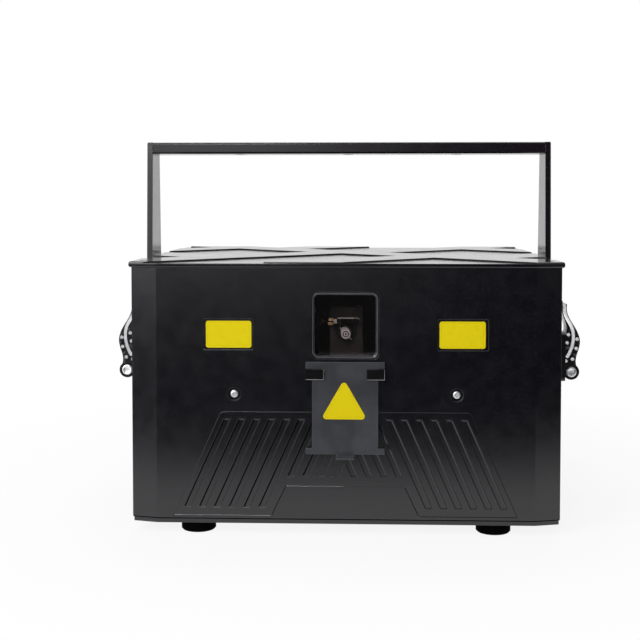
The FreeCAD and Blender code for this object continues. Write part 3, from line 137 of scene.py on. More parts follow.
@dataclass(frozen=True)
class Finish(ABC):
    """A surface finish, which makes its node material once."""

    name: str
    slot: str
    colour: str
    roughness: float
    edge_mm: float = 0.5
    relief: float = 0.05
    depth_mm: float = 0.1
    glossier: float = 0.0
    duller: float = 0.1

    def material(self) -> bpy.types.Material:
        """Returns the material of this finish, made at the first call."""
        known = bpy.data.materials.get(self.name)
        if known:
            return known
        made = bpy.data.materials.new(self.name)
        made.use_nodes = True
        made.diffuse_color = linear(self.colour)
        tree = made.node_tree
        shader = tree.nodes["Principled BSDF"]
        shader.inputs["Base Color"].default_value = linear(self.colour)
        shader.inputs["Roughness"].default_value = self.roughness
        self.dress(tree, shader, add(tree, "ShaderNodeTexCoord", take="Object"))
        return made

    @abstractmethod
    def dress(self, tree: Tree, shader: Node, place: Socket) -> None:
        """Adds the pattern of the finish to its shader."""

    def edge(self, tree: Tree) -> tuple[Socket, Socket]:
        """Rounds the light on sharp edges, as a coating or a broken edge does.

        Args:
            tree: The material's tree.

        Returns:
            The rounded normal, and a mask that is one on edges.
        """
        soft = add(tree, "ShaderNodeBevel", {"Radius": self.edge_mm * MM}, samples=4)
        flat = add(tree, "ShaderNodeNewGeometry", take="True Normal")
        same = add(tree, "ShaderNodeVectorMath", (soft, flat), "Value", operation="DOT_PRODUCT")
        return soft, add(tree, "ShaderNodeMapRange", (same, 0.99, 0.8, 0.0, 1.0))

    def surface(self, tree: Tree, shader: Node, soft: Socket, height: Socket, gloss: Socket) -> None:
        """Presses a pattern into the surface and lets the gloss vary.

        Args:
            tree: The material's tree.
            shader: Its shader.
            soft: Normal with rounded edges.
            height: Pattern that is pressed in.
            gloss: Pattern that the gloss follows.
        """
        bump = {"Height": height, "Strength": self.relief, "Distance": self.depth_mm * MM, "Normal": soft}
        add(tree, "ShaderNodeBump", bump, to=shader.inputs["Normal"])
        limits = max(0.02, self.roughness - self.glossier), min(1.0, self.roughness + self.duller)
        add(tree, "ShaderNodeMapRange", (gloss, *NOISE, *limits), to=shader.inputs["Roughness"])

    def layers(self, tree: Tree, shader: Node, *layers: tuple[Socket, str]) -> None:
        """Lays colours over the finish's own colour.

        Args:
            tree: The material's tree.
            shader: Its shader.
            layers: Mask and colour of each layer, the lowest first.
        """
        tone = linear(self.colour)
        for mask, colour in layers:
            tone = add(tree, "ShaderNodeMix", {0: mask, 6: tone, 7: linear(colour)}, 2, data_type="RGBA")
        tree.links.new(tone, shader.inputs["Base Color"])


@dataclass(frozen=True)
class PowderCoat(Finish):
    """Baked powder paint: a fine even grit on soft orange peel, thin and paler along edges."""

    depth_mm: float = 0.3
    glossier: float = 0.015
    duller: float = 0.025
    # Paler colour along edges: wear, which also stands in for the edges' highlights
    wear_and_highlight: str = "#5a5b60"
    cloudy: str = "#0c0b12"
    settled: str = "#9a9a98"
    cloud_mm: float = 14.0
    peel_mm: float = 3.0
    # Real grit is about 0.1 mm; it is drawn coarser so that it shows
    grit_mm: float = 1.3
    dust: float = 0.03
    ior: float = 1.55

    def dress(self, tree: Tree, shader: Node, place: Socket) -> None:
        """Adds peel, grit, clouding, dust and worn edges."""
        soft, edge = self.edge(tree)
        shader.inputs["IOR"].default_value = self.ior
        peel = add(tree, "ShaderNodeTexNoise", {"Vector": place, "Scale": per(self.peel_mm), "Detail": 2.0})
        grit = add(tree, "ShaderNodeTexNoise", {"Vector": place, "Scale": per(self.grit_mm), "Detail": 1.0})
        cloud = add(tree, "ShaderNodeTexNoise",
                    {"Vector": place, "Scale": per(self.cloud_mm), "Detail": 3.0, "Roughness": 0.5})
        height = add(tree, "ShaderNodeMath", (grit, 0.7, peel), operation="MULTIPLY_ADD")
        self.surface(tree, shader, soft, height, cloud)
        share = add(tree, "ShaderNodeMapRange", (cloud, 0.35, 0.7))
        speck = add(tree, "ShaderNodeMapRange", (grit, 0.62, 0.74, 0.0, self.dust))
        rub = add(tree, "ShaderNodeMath", (edge, peel), operation="MULTIPLY")
        self.layers(tree, shader, (share, self.cloudy), (speck, self.settled), (rub, self.wear_and_highlight))


@dataclass(frozen=True)
class Moulded(Finish):
    """Moulded plastic or rubber: a spark-eroded grain, a little scuffed where it is handled."""

    relief: float = 0.2
    depth_mm: float = 0.15
    duller: float = 0.12
    scuffed: str = "#2c2c2e"
    scuff_mm: float = 9.0
    # Real eroded grain is about 0.1 mm; it is drawn coarser so that it shows
    grain_mm: float = 0.7
    specular: float = 0.5

    def dress(self, tree: Tree, shader: Node, place: Socket) -> None:
        """Adds grain, scuffs and softened edges."""
        soft, edge = self.edge(tree)
        shader.inputs["Specular IOR Level"].default_value = self.specular
        grain = add(tree, "ShaderNodeTexVoronoi", {"Vector": place, "Scale": per(self.grain_mm)}, "Distance")
        scuff = add(tree, "ShaderNodeTexNoise",
                    {"Vector": place, "Scale": per(self.scuff_mm), "Detail": 5.0, "Roughness": 0.65})
        self.surface(tree, shader, soft, grain, scuff)
        share = add(tree, "ShaderNodeMapRange", (scuff, 0.45, 0.75, 0.0, 0.7))
        share = add(tree, "ShaderNodeMath", (share, edge), operation="MAXIMUM")
        self.layers(tree, shader, (share, self.scuffed))


@dataclass(frozen=True)
class Metal(Finish):
    """Bare, plated or anodised metal with the marks of its tool and bright broken edges."""

    relief: float = 0.08
    glossier: float = 0.05
    duller: float = 0.08
    grain: Grain = Grain.EVEN
    # Real tool marks lie 0.05 to 0.2 mm apart; they are drawn coarser so that they show
    mark_mm: float = 0.8
    stain_mm: float = 14.0
    tarnish: str = "#77787c"
    bright: str = "#f2f2f2"
    metallic: float = 1.0

    def dress(self, tree: Tree, shader: Node, place: Socket) -> None:
        """Adds tool marks, tarnish and bright edges."""
        soft, edge = self.edge(tree)
        shader.inputs["Metallic"].default_value = self.metallic
        turned = add(tree, "ShaderNodeMapping", {"Vector": place, "Scale": self.grain.value})
        mark = add(tree, "ShaderNodeTexNoise", {"Vector": turned, "Scale": per(self.mark_mm), "Detail": 3.0})
        stain = add(tree, "ShaderNodeTexNoise", {"Vector": place, "Scale": per(self.stain_mm), "Detail": 4.0})
        self.surface(tree, shader, soft, mark, mark)
        share = add(tree, "ShaderNodeMapRange", (stain, 0.45, 0.8, 0.0, 0.6))
        shine = add(tree, "ShaderNodeMath", (edge, 0.5), operation="MULTIPLY")
        self.layers(tree, shader, (share, self.tarnish), (shine, self.bright))


@dataclass(frozen=True)
class Film(Finish):
    """Screen-printed film on a thin plate: an even colour with a faint weave of the screen."""

    depth_mm: float = 0.05
    glossier: float = 0.05
    faded: str = "#c9b400"
    ink_mm: float = 6.0
    # A real screen has about 0.1 mm between its threads; it is drawn coarser so that it shows
    mesh_mm: float = 0.9
    specular: float = 0.15

    def dress(self, tree: Tree, shader: Node, place: Socket) -> None:
        """Adds the screen's weave and uneven ink."""
        soft, edge = self.edge(tree)
        shader.inputs["Specular IOR Level"].default_value = self.specular
        weave = add(tree, "ShaderNodeTexChecker", {"Vector": place, "Scale": per(self.mesh_mm)}, "Fac")
        ink = add(tree, "ShaderNodeTexNoise", {"Vector": place, "Scale": per(self.ink_mm), "Detail": 4.0})
        self.surface(tree, shader, soft, weave, ink)
        share = add(tree, "ShaderNodeMapRange", (ink, 0.5, 0.8, 0.0, 0.35))
        share = add(tree, "ShaderNodeMath", (share, edge), operation="MAXIMUM")
        self.layers(tree, shader, (share, self.faded))


@dataclass(frozen=True)
class Pane(Finish):
    """Polished flat glass with a faint haze of wiping marks."""

    ior: float = 1.9
    wipe_mm: float = 5.0
    haze: float = 0.03

    def dress(self, tree: Tree, shader: Node, place: Socket) -> None:
        """Adds transmission and wiping marks, and lets light pass to what is behind."""
        shader.inputs["Transmission Weight"].default_value = 1.0
        shader.inputs["IOR"].default_value = self.ior
        wiped = add(tree, "ShaderNodeMapping",
                    {"Vector": place, "Rotation": (0, 0.6, 0), "Scale": (0.1, 1, 1)})
        haze = add(tree, "ShaderNodeTexNoise", {"Vector": wiped, "Scale": per(self.wipe_mm), "Detail": 4.0})
        gloss = (haze, 0.5, 0.8, self.roughness, self.roughness + self.haze)
        add(tree, "ShaderNodeMapRange", gloss, to=shader.inputs["Roughness"])
        lit = add(tree, "ShaderNodeLightPath", take="Is Shadow Ray")
        clear = add(tree, "ShaderNodeBsdfTransparent", {"Color": linear(self.colour)})
        out = tree.nodes["Material Output"].inputs["Surface"]
        add(tree, "ShaderNodeMixShader", (lit, shader.outputs[0], clear), to=out)


@dataclass(frozen=True)
class Dichroic(Finish):
    """Coated glass that throws back one colour, which differs along the row of filters."""

    start_mm: float = -150.0
    run_mm: float = 220.0
    haze_mm: float = 3.0
    haze: float = 0.08
    metallic: float = 0.7
    hues: tuple[str, ...] = ("#b9c4d8", "#d86a7a", "#7ad88e", "#7a90e0")

    def dress(self, tree: Tree, shader: Node, place: Socket) -> None:
        """Adds the coating's colour by its place along the row."""
        shader.inputs["Metallic"].default_value = self.metallic
        along = add(tree, "ShaderNodeSeparateXYZ", (place,), 1)
        limits = (along, self.start_mm * MM, (self.start_mm + self.run_mm) * MM)
        share = add(tree, "ShaderNodeMapRange", limits)
        ramp = add(tree, "ShaderNodeValToRGB", (share,), to=shader.inputs["Base Color"])
        stops = ramp.node.color_ramp.elements
        while len(stops) < len(self.hues):
            stops.new(0.5)
        for index, hue in enumerate(self.hues):
            stops[index].position = index / (len(self.hues) - 1)
            stops[index].color = linear(hue)
        haze = add(tree, "ShaderNodeTexNoise", {"Vector": place, "Scale": per(self.haze_mm), "Detail": 3.0})
        gloss = (haze, 0.4, 0.8, self.roughness, self.roughness + self.haze)
        add(tree, "ShaderNodeMapRange", gloss, to=shader.inputs["Roughness"])


@dataclass(frozen=True)
class SolderMask(Finish):
    """Printed circuit: lacquer over copper tracks, with tinned pads on a grid."""

    relief: float = 0.3
    depth_mm: float = 0.05
    shade: str = "#0d4a26"
    track: str = "#2f7a45"
    pad: str = "#b9b6a8"
    # Real tracks lie about 1 mm apart; they are drawn coarser so that they show
    track_mm: float = 2.4
    gap_mm: float = 0.25
    run_mm: float = 9.0
    pad_mm: float = 5.0

    def dress(self, tree: Tree, shader: Node, place: Socket) -> None:
        """Adds tracks and pads."""
        sizes = {"Mortar Size": self.gap_mm, "Brick Width": self.run_mm, "Row Height": self.track_mm}
        tones = {"Mortar": self.track, "Color1": self.colour, "Color2": self.shade}
        bricks = {"Vector": place, "Scale": 1.0} | {label: size * MM for label, size in sizes.items()}
        bricks |= {label: linear(tone) for label, tone in tones.items()}
        tracks = add(tree, "ShaderNodeTexBrick", bricks)
        dots = add(tree, "ShaderNodeTexVoronoi",
                   {"Vector": place, "Scale": per(self.pad_mm), "Randomness": 0.35}, "Distance")
        spot = add(tree, "ShaderNodeMapRange", (dots, 0.2, 0.16), to=shader.inputs["Metallic"])
        tone = {0: spot, 6: tracks, 7: linear(self.pad)}
        add(tree, "ShaderNodeMix", tone, 2, shader.inputs["Base Color"], data_type="RGBA")
        height = tracks.node.outputs["Fac"]
        bump = {"Height": height, "Strength": self.relief, "Distance": self.depth_mm * MM}
        add(tree, "ShaderNodeBump", bump, to=shader.inputs["Normal"])


@dataclass(frozen=True)
class Perforated(Finish):
    """Folded sheet metal with rows of round vent holes."""

    relief: float = 0.6
    depth_mm: float = 0.4
    hole: str = "#060606"
    pitch_mm: float = 5.0

    def dress(self, tree: Tree, shader: Node, place: Socket) -> None:
        """Adds rows of dark holes."""
        soft, _ = self.edge(tree)
        dots = add(tree, "ShaderNodeTexVoronoi",
                   {"Vector": place, "Scale": per(self.pitch_mm), "Randomness": 0.0}, "Distance")
        hole = add(tree, "ShaderNodeMapRange", (dots, 0.36, 0.32))
        self.layers(tree, shader, (hole, self.hole))
        bare = add(tree, "ShaderNodeMath", (1.0, hole), to=shader.inputs["Metallic"], operation="SUBTRACT")
        bump = {"Height": bare, "Strength": self.relief, "Distance": self.depth_mm * MM, "Normal": soft}
        add(tree, "ShaderNodeBump", bump, to=shader.inputs["Normal"])


# Powder-coated sheet: nearly black and satin, so it shows mostly what it mirrors
CASE_COAT = PowderCoat("powder_coat_black_aluminium", "black_coat", "#07060d", 0.22, 0.8, relief=0.03)
# The lid's paint has flowed out smooth, so at a flat angle it mirrors the room
LID_COAT = PowderCoat("powder_coat_smooth_lid", "black_coat", "#08070e", 0.15, 0.8, 0.012, wear_and_highlight="#14141a")
# The same paint on the raised plate of the front, with rounded groove edges
TRIM_COAT = PowderCoat("powder_coat_satin_trim", "trim_coat", "#08070e", 0.21, 0.6, 0.03, wear_and_highlight="#16161b")
# Paint pulls thin and smooth over a chamfer, so it mirrors more sharply than the flat beside it
LIP_COAT = PowderCoat("powder_coat_glossy_chamfer", "trim_coat", "#08070c", 0.13, 0.1, 0.0, wear_and_highlight="#08070c")
# Heavier bar stock: the paint lies smoother and shines more at the rounded corners
YOKE_COAT = PowderCoat("powder_coat_satin_yoke", "yoke_coat", "#120a13", 0.2, 0.6, 0.02, wear_and_highlight="#2c2729")
# A paler satin paint on the window's rim, so that all four sides stand out from the black round it
RIM_COAT = PowderCoat("powder_coat_grey_rim", "trim_coat", "#3a3b40", 0.18, 0.6, wear_and_highlight="#8a8b90",
                      cloudy="#404146")
# Paint on steel sheet: dark slate, paler than the case
SHUTTER_COAT = PowderCoat("stove_enamel_slate_steel", "shutter_grey", "#2f3035", 0.3, 0.6, wear_and_highlight="#787a80",
                          cloudy="#3a3b40")
# Glass-filled nylon: dead black with a fine spark-eroded grain; fans and connectors are a little greyer
GUIDE_NYLON = Moulded("moulded_nylon_black", "guide_black", "#030304", 0.28, relief=0.05, scuffed="#08080a",
                      specular=0.2)
FAN_PLASTIC = Moulded("moulded_polyester_fan_black", "fan_plastic", "#0e0e10", 0.45)
CONNECTOR_PLASTIC = Moulded("moulded_nylon_connector", "connector_plastic", "#101012", 0.42)
# Rubber: matt, soaks up nearly all light, a little grey where it has rubbed
# Also laid as dark strips of painted shade in the trim's grooves and under the front panel
FOOT_RUBBER = Moulded("moulded_rubber_black", "foot_rubber", "#010101", 0.8, 1.0, scuffed="#030303",
                      grain_mm=1.1, specular=0.03)
GASKET_RUBBER = Moulded("extruded_rubber_gasket", "gasket_rubber", "#171213", 0.55, scuffed="#1d1718",
                        specular=0.3)
# Black oxide on steel screws: brownish black, half shiny
BLACK_SCREW = Metal("black_oxide_steel", "black_screw", "#26262a", 0.38, 0.25, tarnish="#1a1918",
                    bright="#6a6a6e")
# Zinc and nickel plate are bright but not sharp mirrors; turned steel keeps fine rings
SCREW_STEEL = Metal("bright_zinc_steel", "bright_steel", "#e6e7ea", 0.38, 0.3, mark_mm=0.6, tarnish="#c9cacd")
ZINC_STEEL = Metal("zinc_plated_steel", "zinc_steel", "#b9bcc2", 0.34, mark_mm=3.0, tarnish="#98a0a8")
NICKEL = Metal("nickel_plated_steel", "socket_steel", "#b4b2ac", 0.25, 0.3, tarnish="#94928b")
MOTOR_STEEL = Metal("turned_steel", "motor_steel", "#c3c4c8", 0.36, mark_mm=0.5, tarnish="#a5a6aa")
# Milled aluminium keeps the cutter's lines, and a freshly drilled wall is nearly white
# Also laid in strips as painted highlights on the trim's left lower edges and on the guides' lower and right
# edges
MILLED = Metal("milled_aluminium", "mill_aluminium", "#b8babd", 0.36, grain=Grain.ALONG_X, tarnish="#9c9ea2")
BARE_WALL = Metal("machined_aluminium_bright", "black_anodised", "#f3f3f5", 0.34, 0.2, grain=Grain.ALONG_Y,
                  tarnish="#dfdfe3")
# Anodised aluminium: dyed dark under a hard clear skin that hides most of the metal, paler on broken edges
BRONZED = Metal("bronze_anodised_aluminium", "black_anodised", "#120c0c", 0.5, 0.3, tarnish="#181212",
                bright="#2c2424", metallic=0.0)
ANODISED = Metal("black_anodised_aluminium", "black_anodised", "#0e0d10", 0.3, 0.35, tarnish="#161519",
                 bright="#54535a", metallic=0.35)
# Turned brass: warm and yellow beside the steel
BRASS = Metal("turned_brass", "shaft_brass", "#dcc48c", 0.4, mark_mm=0.4, tarnish="#c2a468", bright="#fff2d0")
# Machinable ceramic: white and half matt
CERAMIC = Moulded("machined_ceramic_white", "connector_plastic", "#e6e4dd", 0.35, relief=0.05,
                  scuffed="#d6d2c8")
# Ground edge of glass: frosted, so it glows pale where light comes in
GROUND_EDGE = Moulded("ground_glass_edge", "scan_mirror", "#e2e4e0", 0.55, scuffed="#c6c9c4", grain_mm=0.3)
# Front-surface mirror on thin glass: shows only what it faces
MIRROR = Metal("front_surface_mirror", "scan_mirror", "#e2e6ea", 0.05, 0.1, 0.0, mark_mm=6.0,
               tarnish="#cfd4da")
# Printed film: flat, full colour with hardly any shine
YELLOW_FILM = Film("printed_film_yellow", "trim_coat", "#dcc800", 0.36, 0.3)
# Coated glass: the pane is clear, the filters throw back one colour each
WINDOW_GLASS = Pane("float_glass_coated", "window_glass", "#f4eceb", 0.01)
FILTER_GLASS = Dichroic("dichroic_coated_glass", "filter_glass", "#b9c4d8", 0.06)
# Inside: green lacquer with tinned pads, black chips, and a supply in dull punched sheet
BOARD = SolderMask("fibreglass_circuit_board", "circuit_board", "#10552c", 0.32)
CHIP_EPOXY = Moulded("moulded_epoxy_chip", "connector_plastic", "#17171a", 0.5)
SUPPLY_SHEET = Perforated("perforated_aluminium_sheet", "mill_aluminium", "#aeb0b3", 0.4)


def linked(name: str, data: bpy.types.ID) -> bpy.types.Object:
    """Returns a new object of the scene that holds the data."""
    made = bpy.data.objects.new(name, data)
    bpy.context.scene.collection.objects.link(made)
    return made


def mesh_of(shape: Shape, *finishes: Finish) -> Mesh:
    """Turns a shape into a mesh with smooth faces and its finishes as materials.

    Args:
        shape: The shape, which is freed.
        finishes: One finish for each material index.

    Returns:
        The mesh.
    """
    for face in shape.faces:
        face.smooth = True
    mesh = bpy.data.meshes.new("shape")
    shape.to_mesh(mesh)
    shape.free()
    for finish in finishes:
        mesh.materials.append(finish.material())
    return mesh


def keep(name: str, made: Shape | Mesh, body: str, finish: Finish, *replaced: str) -> None:
    """Puts one piece of the object into the scene.

    Args:
        name: Piece name.
        made: Shape, or mesh with its materials, in place and in metres.
        body: CAD body that carries the piece.
        finish: Finish that a shape gets.
        replaced: CAD nodes that the piece stands for.
    """
    mesh = mesh_of(made, finish) if isinstance(made, Shape) else made
    mesh.name = name
    mesh.set_sharp_from_angle(angle=SHARP)
    piece = linked(name, mesh)
    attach(piece, body)
    if replaced:
        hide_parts(*replaced)
    LOG.info("%s rides on %s with %d faces", name, body, len(mesh.polygons))


def paint(finish: Finish, *nodes: str) -> None:
    """Gives CAD nodes a finish."""
    for node in nodes:
        mesh = frame["nodes"][node].data
        mesh.materials.clear()
        mesh.materials.append(finish.material())


def skin(rings: Sequence[Sequence[Vector]], to: Matrix = HERE, ends: bool = True) -> Shape:
    """Joins rings of points into a closed shape.

    Args:
        rings: Rings with the same number of points, in order.
        to: Where the shape goes.
        ends: Whether faces close the first and last ring; if not, the last ring joins the first.

    Returns:
        The shape.
    """
    shape = bmesh.new()
    rows = [[shape.verts.new(point) for point in points] for points in rings]
    for low, high in zip(rows, rows[1:] if ends else rows[1:] + rows[:1]):
        for index in range(len(low)):
            shape.faces.new((low[index - 1], low[index], high[index], high[index - 1]))
    if ends:
        shape.faces.new(rows[0][::-1])
        shape.faces.new(rows[-1])
    shape.transform(to)
    bmesh.ops.recalc_face_normals(shape, faces=shape.faces)
    return shape


def joined(shapes: Iterable[Shape]) -> Shape:
    """Returns one shape made of several, which are freed."""
    whole = bmesh.new()
    for shape in shapes:
        part = mesh_of(shape)
        whole.from_mesh(part)
        bpy.data.meshes.remove(part)
    return whole


def ring(height: float, *reach: float, steps: int = 24) -> list[Vector]:
    """Returns a ring of points about the Z axis.

    Args:
        height: Height of the ring.
        reach: Radii in turn, repeated round the ring: one for a circle, more for a hexagon or a cross.
        steps: Number of points.

    Returns:
        The points.
    """
    points = []
    for index in range(steps):
        radius = reach[index % len(reach)]
        turn = math.tau * index / steps
        points.append(Vector((radius * math.cos(turn), radius * math.sin(turn), height)))
    return points


def lathe(profile: Iterable[Pair], to: Matrix, steps: int = 32) -> Shape:
    """Returns the shape that radius and height pairs in millimetres make when turned about an axis."""
    return skin([ring(height * MM, radius * MM, steps=steps) for radius, height in profile], to)


def facing(spot: Vector, way: Sequence[float]) -> Matrix:
    """Returns the transform that puts a shape's Z axis along a way at a spot."""
    return Matrix.Translation(spot) @ Vector(way).to_track_quat("Z", "Y").to_matrix().to_4x4()


def rectangle(width: float, height: float) -> list[Pair]:
    """Returns the corners of a rectangle about the origin, counterclockwise."""
    x, y = width / 2, height / 2
    return [(-x, -y), (x, -y), (x, y), (-x, y)]


def rounded(corners: Sequence[Pair], inset: float, height: float, radius: float,
            steps: int = 6) -> list[Vector]:
    """Rounds the corners of a convex outline.

    Args:
        corners: Corners in millimetres, counterclockwise.
        inset: How far the outline is drawn in.
        height: Height that the outline is lifted to.
        radius: Corner radius before the outline is drawn in.
        steps: Faces at each corner.

    Returns:
        Points of the outline, in metres.
    """
    points = []
    spots = [Vector(corner) for corner in corners]
    for index, here in enumerate(spots):
        before = (here - spots[index - 1]).normalized()
        after = (spots[(index + 1) % len(spots)] - here).normalized()
        left = Vector((-before.y, before.x))
        other = Vector((-after.y, after.x))
        centre = here + (left + other) * (radius / (1 + left.dot(other)))
        turn = math.atan2(before.x * after.y - before.y * after.x, before.dot(after))
        for step in range(steps + 1):
            spot = centre + Matrix.Rotation(turn * step / steps, 2) @ (-left * (radius - inset))
            points.append(mm(spot.x, spot.y, height))
    return points


def plate(corners: Sequence[Pair], radius: float, thick: float, line: float, spot: Vector) -> Shape:
    """Makes a thin plate that faces the front, with a fine line pressed in near its edge.

    Args:
        corners: Corners in millimetres, counterclockwise.
        radius: Corner radius in millimetres.
        thick: Thickness in millimetres.
        line: Distance of the line from the edge in millimetres.
        spot: Where the origin of the corners goes, at the back of the plate.

    Returns:
        The plate.
    """
    fall, floor = 0.12, 0.38
    steps = [(0, 0), (0, thick * 0.7), (fall, thick), (line, thick), (line + fall, thick - fall)]
    steps += [(line + fall + floor, thick - fall), (line + 2 * fall + floor, thick)]
    rings = [rounded(corners, inset, height, radius) for inset, height in steps]
    return skin(rings, Matrix.Translation(spot) @ FRONT_UP)


def block(low: Vector, high: Vector, corner: float = 0.5, edge: float = 0.25) -> Shape:
    """Makes a block with rounded upright corners and broken edges.

    Args:
        low: Lowest corner in metres.
        high: Highest corner in metres.
        corner: Radius of the upright corners in millimetres.
        edge: Width of the broken edges in millimetres.

    Returns:
        The closed shape, in place.
    """
    wide, deep, tall = (high - low) / MM
    steps = ((edge, 0), (0, edge), (0, tall - edge), (edge, tall))
    rings = [rounded(rectangle(wide, deep), inset, height, corner, 3) for inset, height in steps]
    middle = (low + high) / 2
    return skin(rings, Matrix.Translation((middle.x, middle.y, low.z)))


def merged(node: str) -> Shape:
    """Returns a copy of a CAD node's mesh with its doubled points merged."""
    shape = bmesh.new()
    shape.from_mesh(frame["nodes"][node].data)
    bmesh.ops.remove_doubles(shape, verts=shape.verts, dist=SAME)
    return shape


def connected(faces: Iterable[bmesh.types.BMFace], bend: float) -> list[list[bmesh.types.BMFace]]:
    """Groups faces that meet at edges.

    Args:
        faces: Faces of one shape.
        bend: Largest angle between neighbours of one group, in radians.

    Returns:
        The groups.
    """
    left = dict.fromkeys(faces)
    groups = []
    while left:
        group = [next(iter(left))]
        del left[group[0]]
        for face in group:
            for edge in face.edges:
                for other in edge.link_faces:
                    if other in left and face.normal.angle(other.normal, 0) < bend:
                        del left[other]
                        group.append(other)
        groups.append(group)
    return groups


def corners_of(spots: Iterable[Vector]) -> Corners:
    """Returns the lowest and highest corner of the box round some points."""
    axes = list(zip(*spots))
    return Vector([min(axis) for axis in axes]), Vector([max(axis) for axis in axes])


def solids(node: str) -> list[Corners]:
    """Returns the lowest and highest corner of each solid of a CAD node, in a fixed order."""
    shape = merged(node)
    groups = connected(shape.faces, math.tau)
    found = [corners_of(vert.co for face in group for vert in face.verts) for group in groups]
    shape.free()
    return sorted(found, key=lambda pair: [round(value, 5) for value in pair[0]])


def geometry_tree(name: str, **inputs: str) -> tuple[Tree, bpy.types.NodeOutputs]:
    """Starts a geometry tree with named inputs.

    Args:
        name: Tree name.
        inputs: Input name to socket kind; an underscore in a name stands for a space.

    Returns:
        The tree, and what is put into it.
    """
    tree = bpy.data.node_groups.new(name, "GeometryNodeTree")
    sockets = tree.interface
    sockets.new_socket("Geometry", in_out="INPUT", socket_type="NodeSocketGeometry")
    for label, kind in inputs.items():
        sockets.new_socket(label.replace("_", " "), in_out="INPUT", socket_type=f"NodeSocket{kind}")
    sockets.new_socket("Geometry", in_out="OUTPUT", socket_type="NodeSocketGeometry")
    return tree, add(tree, "NodeGroupInput").node.outputs


def close_tree(tree: Tree, finish: Socket, *shapes: Socket) -> Tree:
    """Ends a tree: instances become real geometry and take the finish.

    Args:
        tree: The tree.
        finish: Material that is put into it.
        shapes: The instances and whatever goes with them.

    Returns:
        The finished tree.
    """
    both = add(tree, "GeometryNodeJoinGeometry")
    for shape in shapes:
        tree.links.new(shape, both.node.inputs[0])
    real = add(tree, "GeometryNodeRealizeInstances", (both,))
    dressed = add(tree, "GeometryNodeSetMaterial", {"Geometry": real, "Material": finish})
    add(tree, "NodeGroupOutput", (dressed,))
    return tree


def grow(tree: Tree, seed: Mesh, finish: Finish, **values: object) -> Mesh:
    """Runs a geometry tree on a mesh.

    Args:
        tree: The tree.
        seed: Mesh that the tree starts from.
        finish: Finish of the result.
        values: Input name to value; an underscore in a name stands for a space.

    Returns:
        The result as a plain mesh.
    """
    carrier = linked("carrier", seed)
    modifier = carrier.modifiers.new("tree", "NODES")
    modifier.node_group = tree
    sockets = [item for item in tree.interface.items_tree if item.item_type == "SOCKET"]
    names = {item.name: item.identifier for item in sockets if item.in_out == "INPUT"}
    for label, value in (values | {"Finish": finish.material()}).items():
        modifier[names[label.replace("_", " ")]] = value
    graph = bpy.context.evaluated_depsgraph_get()
    result = bpy.data.meshes.new_from_object(carrier.evaluated_get(graph))
    carrier.modifiers.remove(modifier)
    bpy.data.objects.remove(carrier)
    return result


def heads_tree() -> Tree:
    """Returns the tree that sets a shape on points, each turned to face its own way."""
    tree, have = geometry_tree("heads_on_points", Shape="Object", Spin="Float", Finish="Material")
    way = add(tree, "GeometryNodeInputNamedAttribute", {"Name": "facing"}, data_type="FLOAT_VECTOR")
    size = add(tree, "GeometryNodeInputNamedAttribute", {"Name": "head"}, data_type="FLOAT_VECTOR")
    stand = add(tree, "FunctionNodeAlignRotationToVector", {"Vector": way}, axis="Z")
    spin = add(tree, "FunctionNodeRandomValue", {2: 0.0, 3: have["Spin"], "Seed": 7}, 1, data_type="FLOAT")
    twist = add(tree, "FunctionNodeAxisAngleToRotation", {"Axis": (0, 0, 1), "Angle": spin})
    turn = add(tree, "FunctionNodeRotateRotation", (stand, twist), rotation_space="LOCAL")
    shape = add(tree, "GeometryNodeObjectInfo", {"Object": have["Shape"]}, "Geometry")
    placed = {"Points": have["Geometry"], "Instance": shape, "Rotation": turn, "Scale": size}
    return close_tree(tree, have["Finish"], add(tree, "GeometryNodeInstanceOnPoints", placed))


def row_tree() -> Tree:
    """Returns the tree that repeats a block in a straight row."""
    sizes = {label: "Vector" for label in ("Start", "Step", "Size")}
    tree, have = geometry_tree("row_of_blocks", Count="Int", Finish="Material", **sizes)
    line = {"Count": have["Count"], "Start Location": have["Start"], "Offset": have["Step"]}
    points = add(tree, "GeometryNodeMeshLine", line, mode="OFFSET")
    cube = add(tree, "GeometryNodeMeshCube", {"Size": have["Size"]})
    row = add(tree, "GeometryNodeInstanceOnPoints", {"Points": points, "Instance": cube})
    return close_tree(tree, have["Finish"], row)


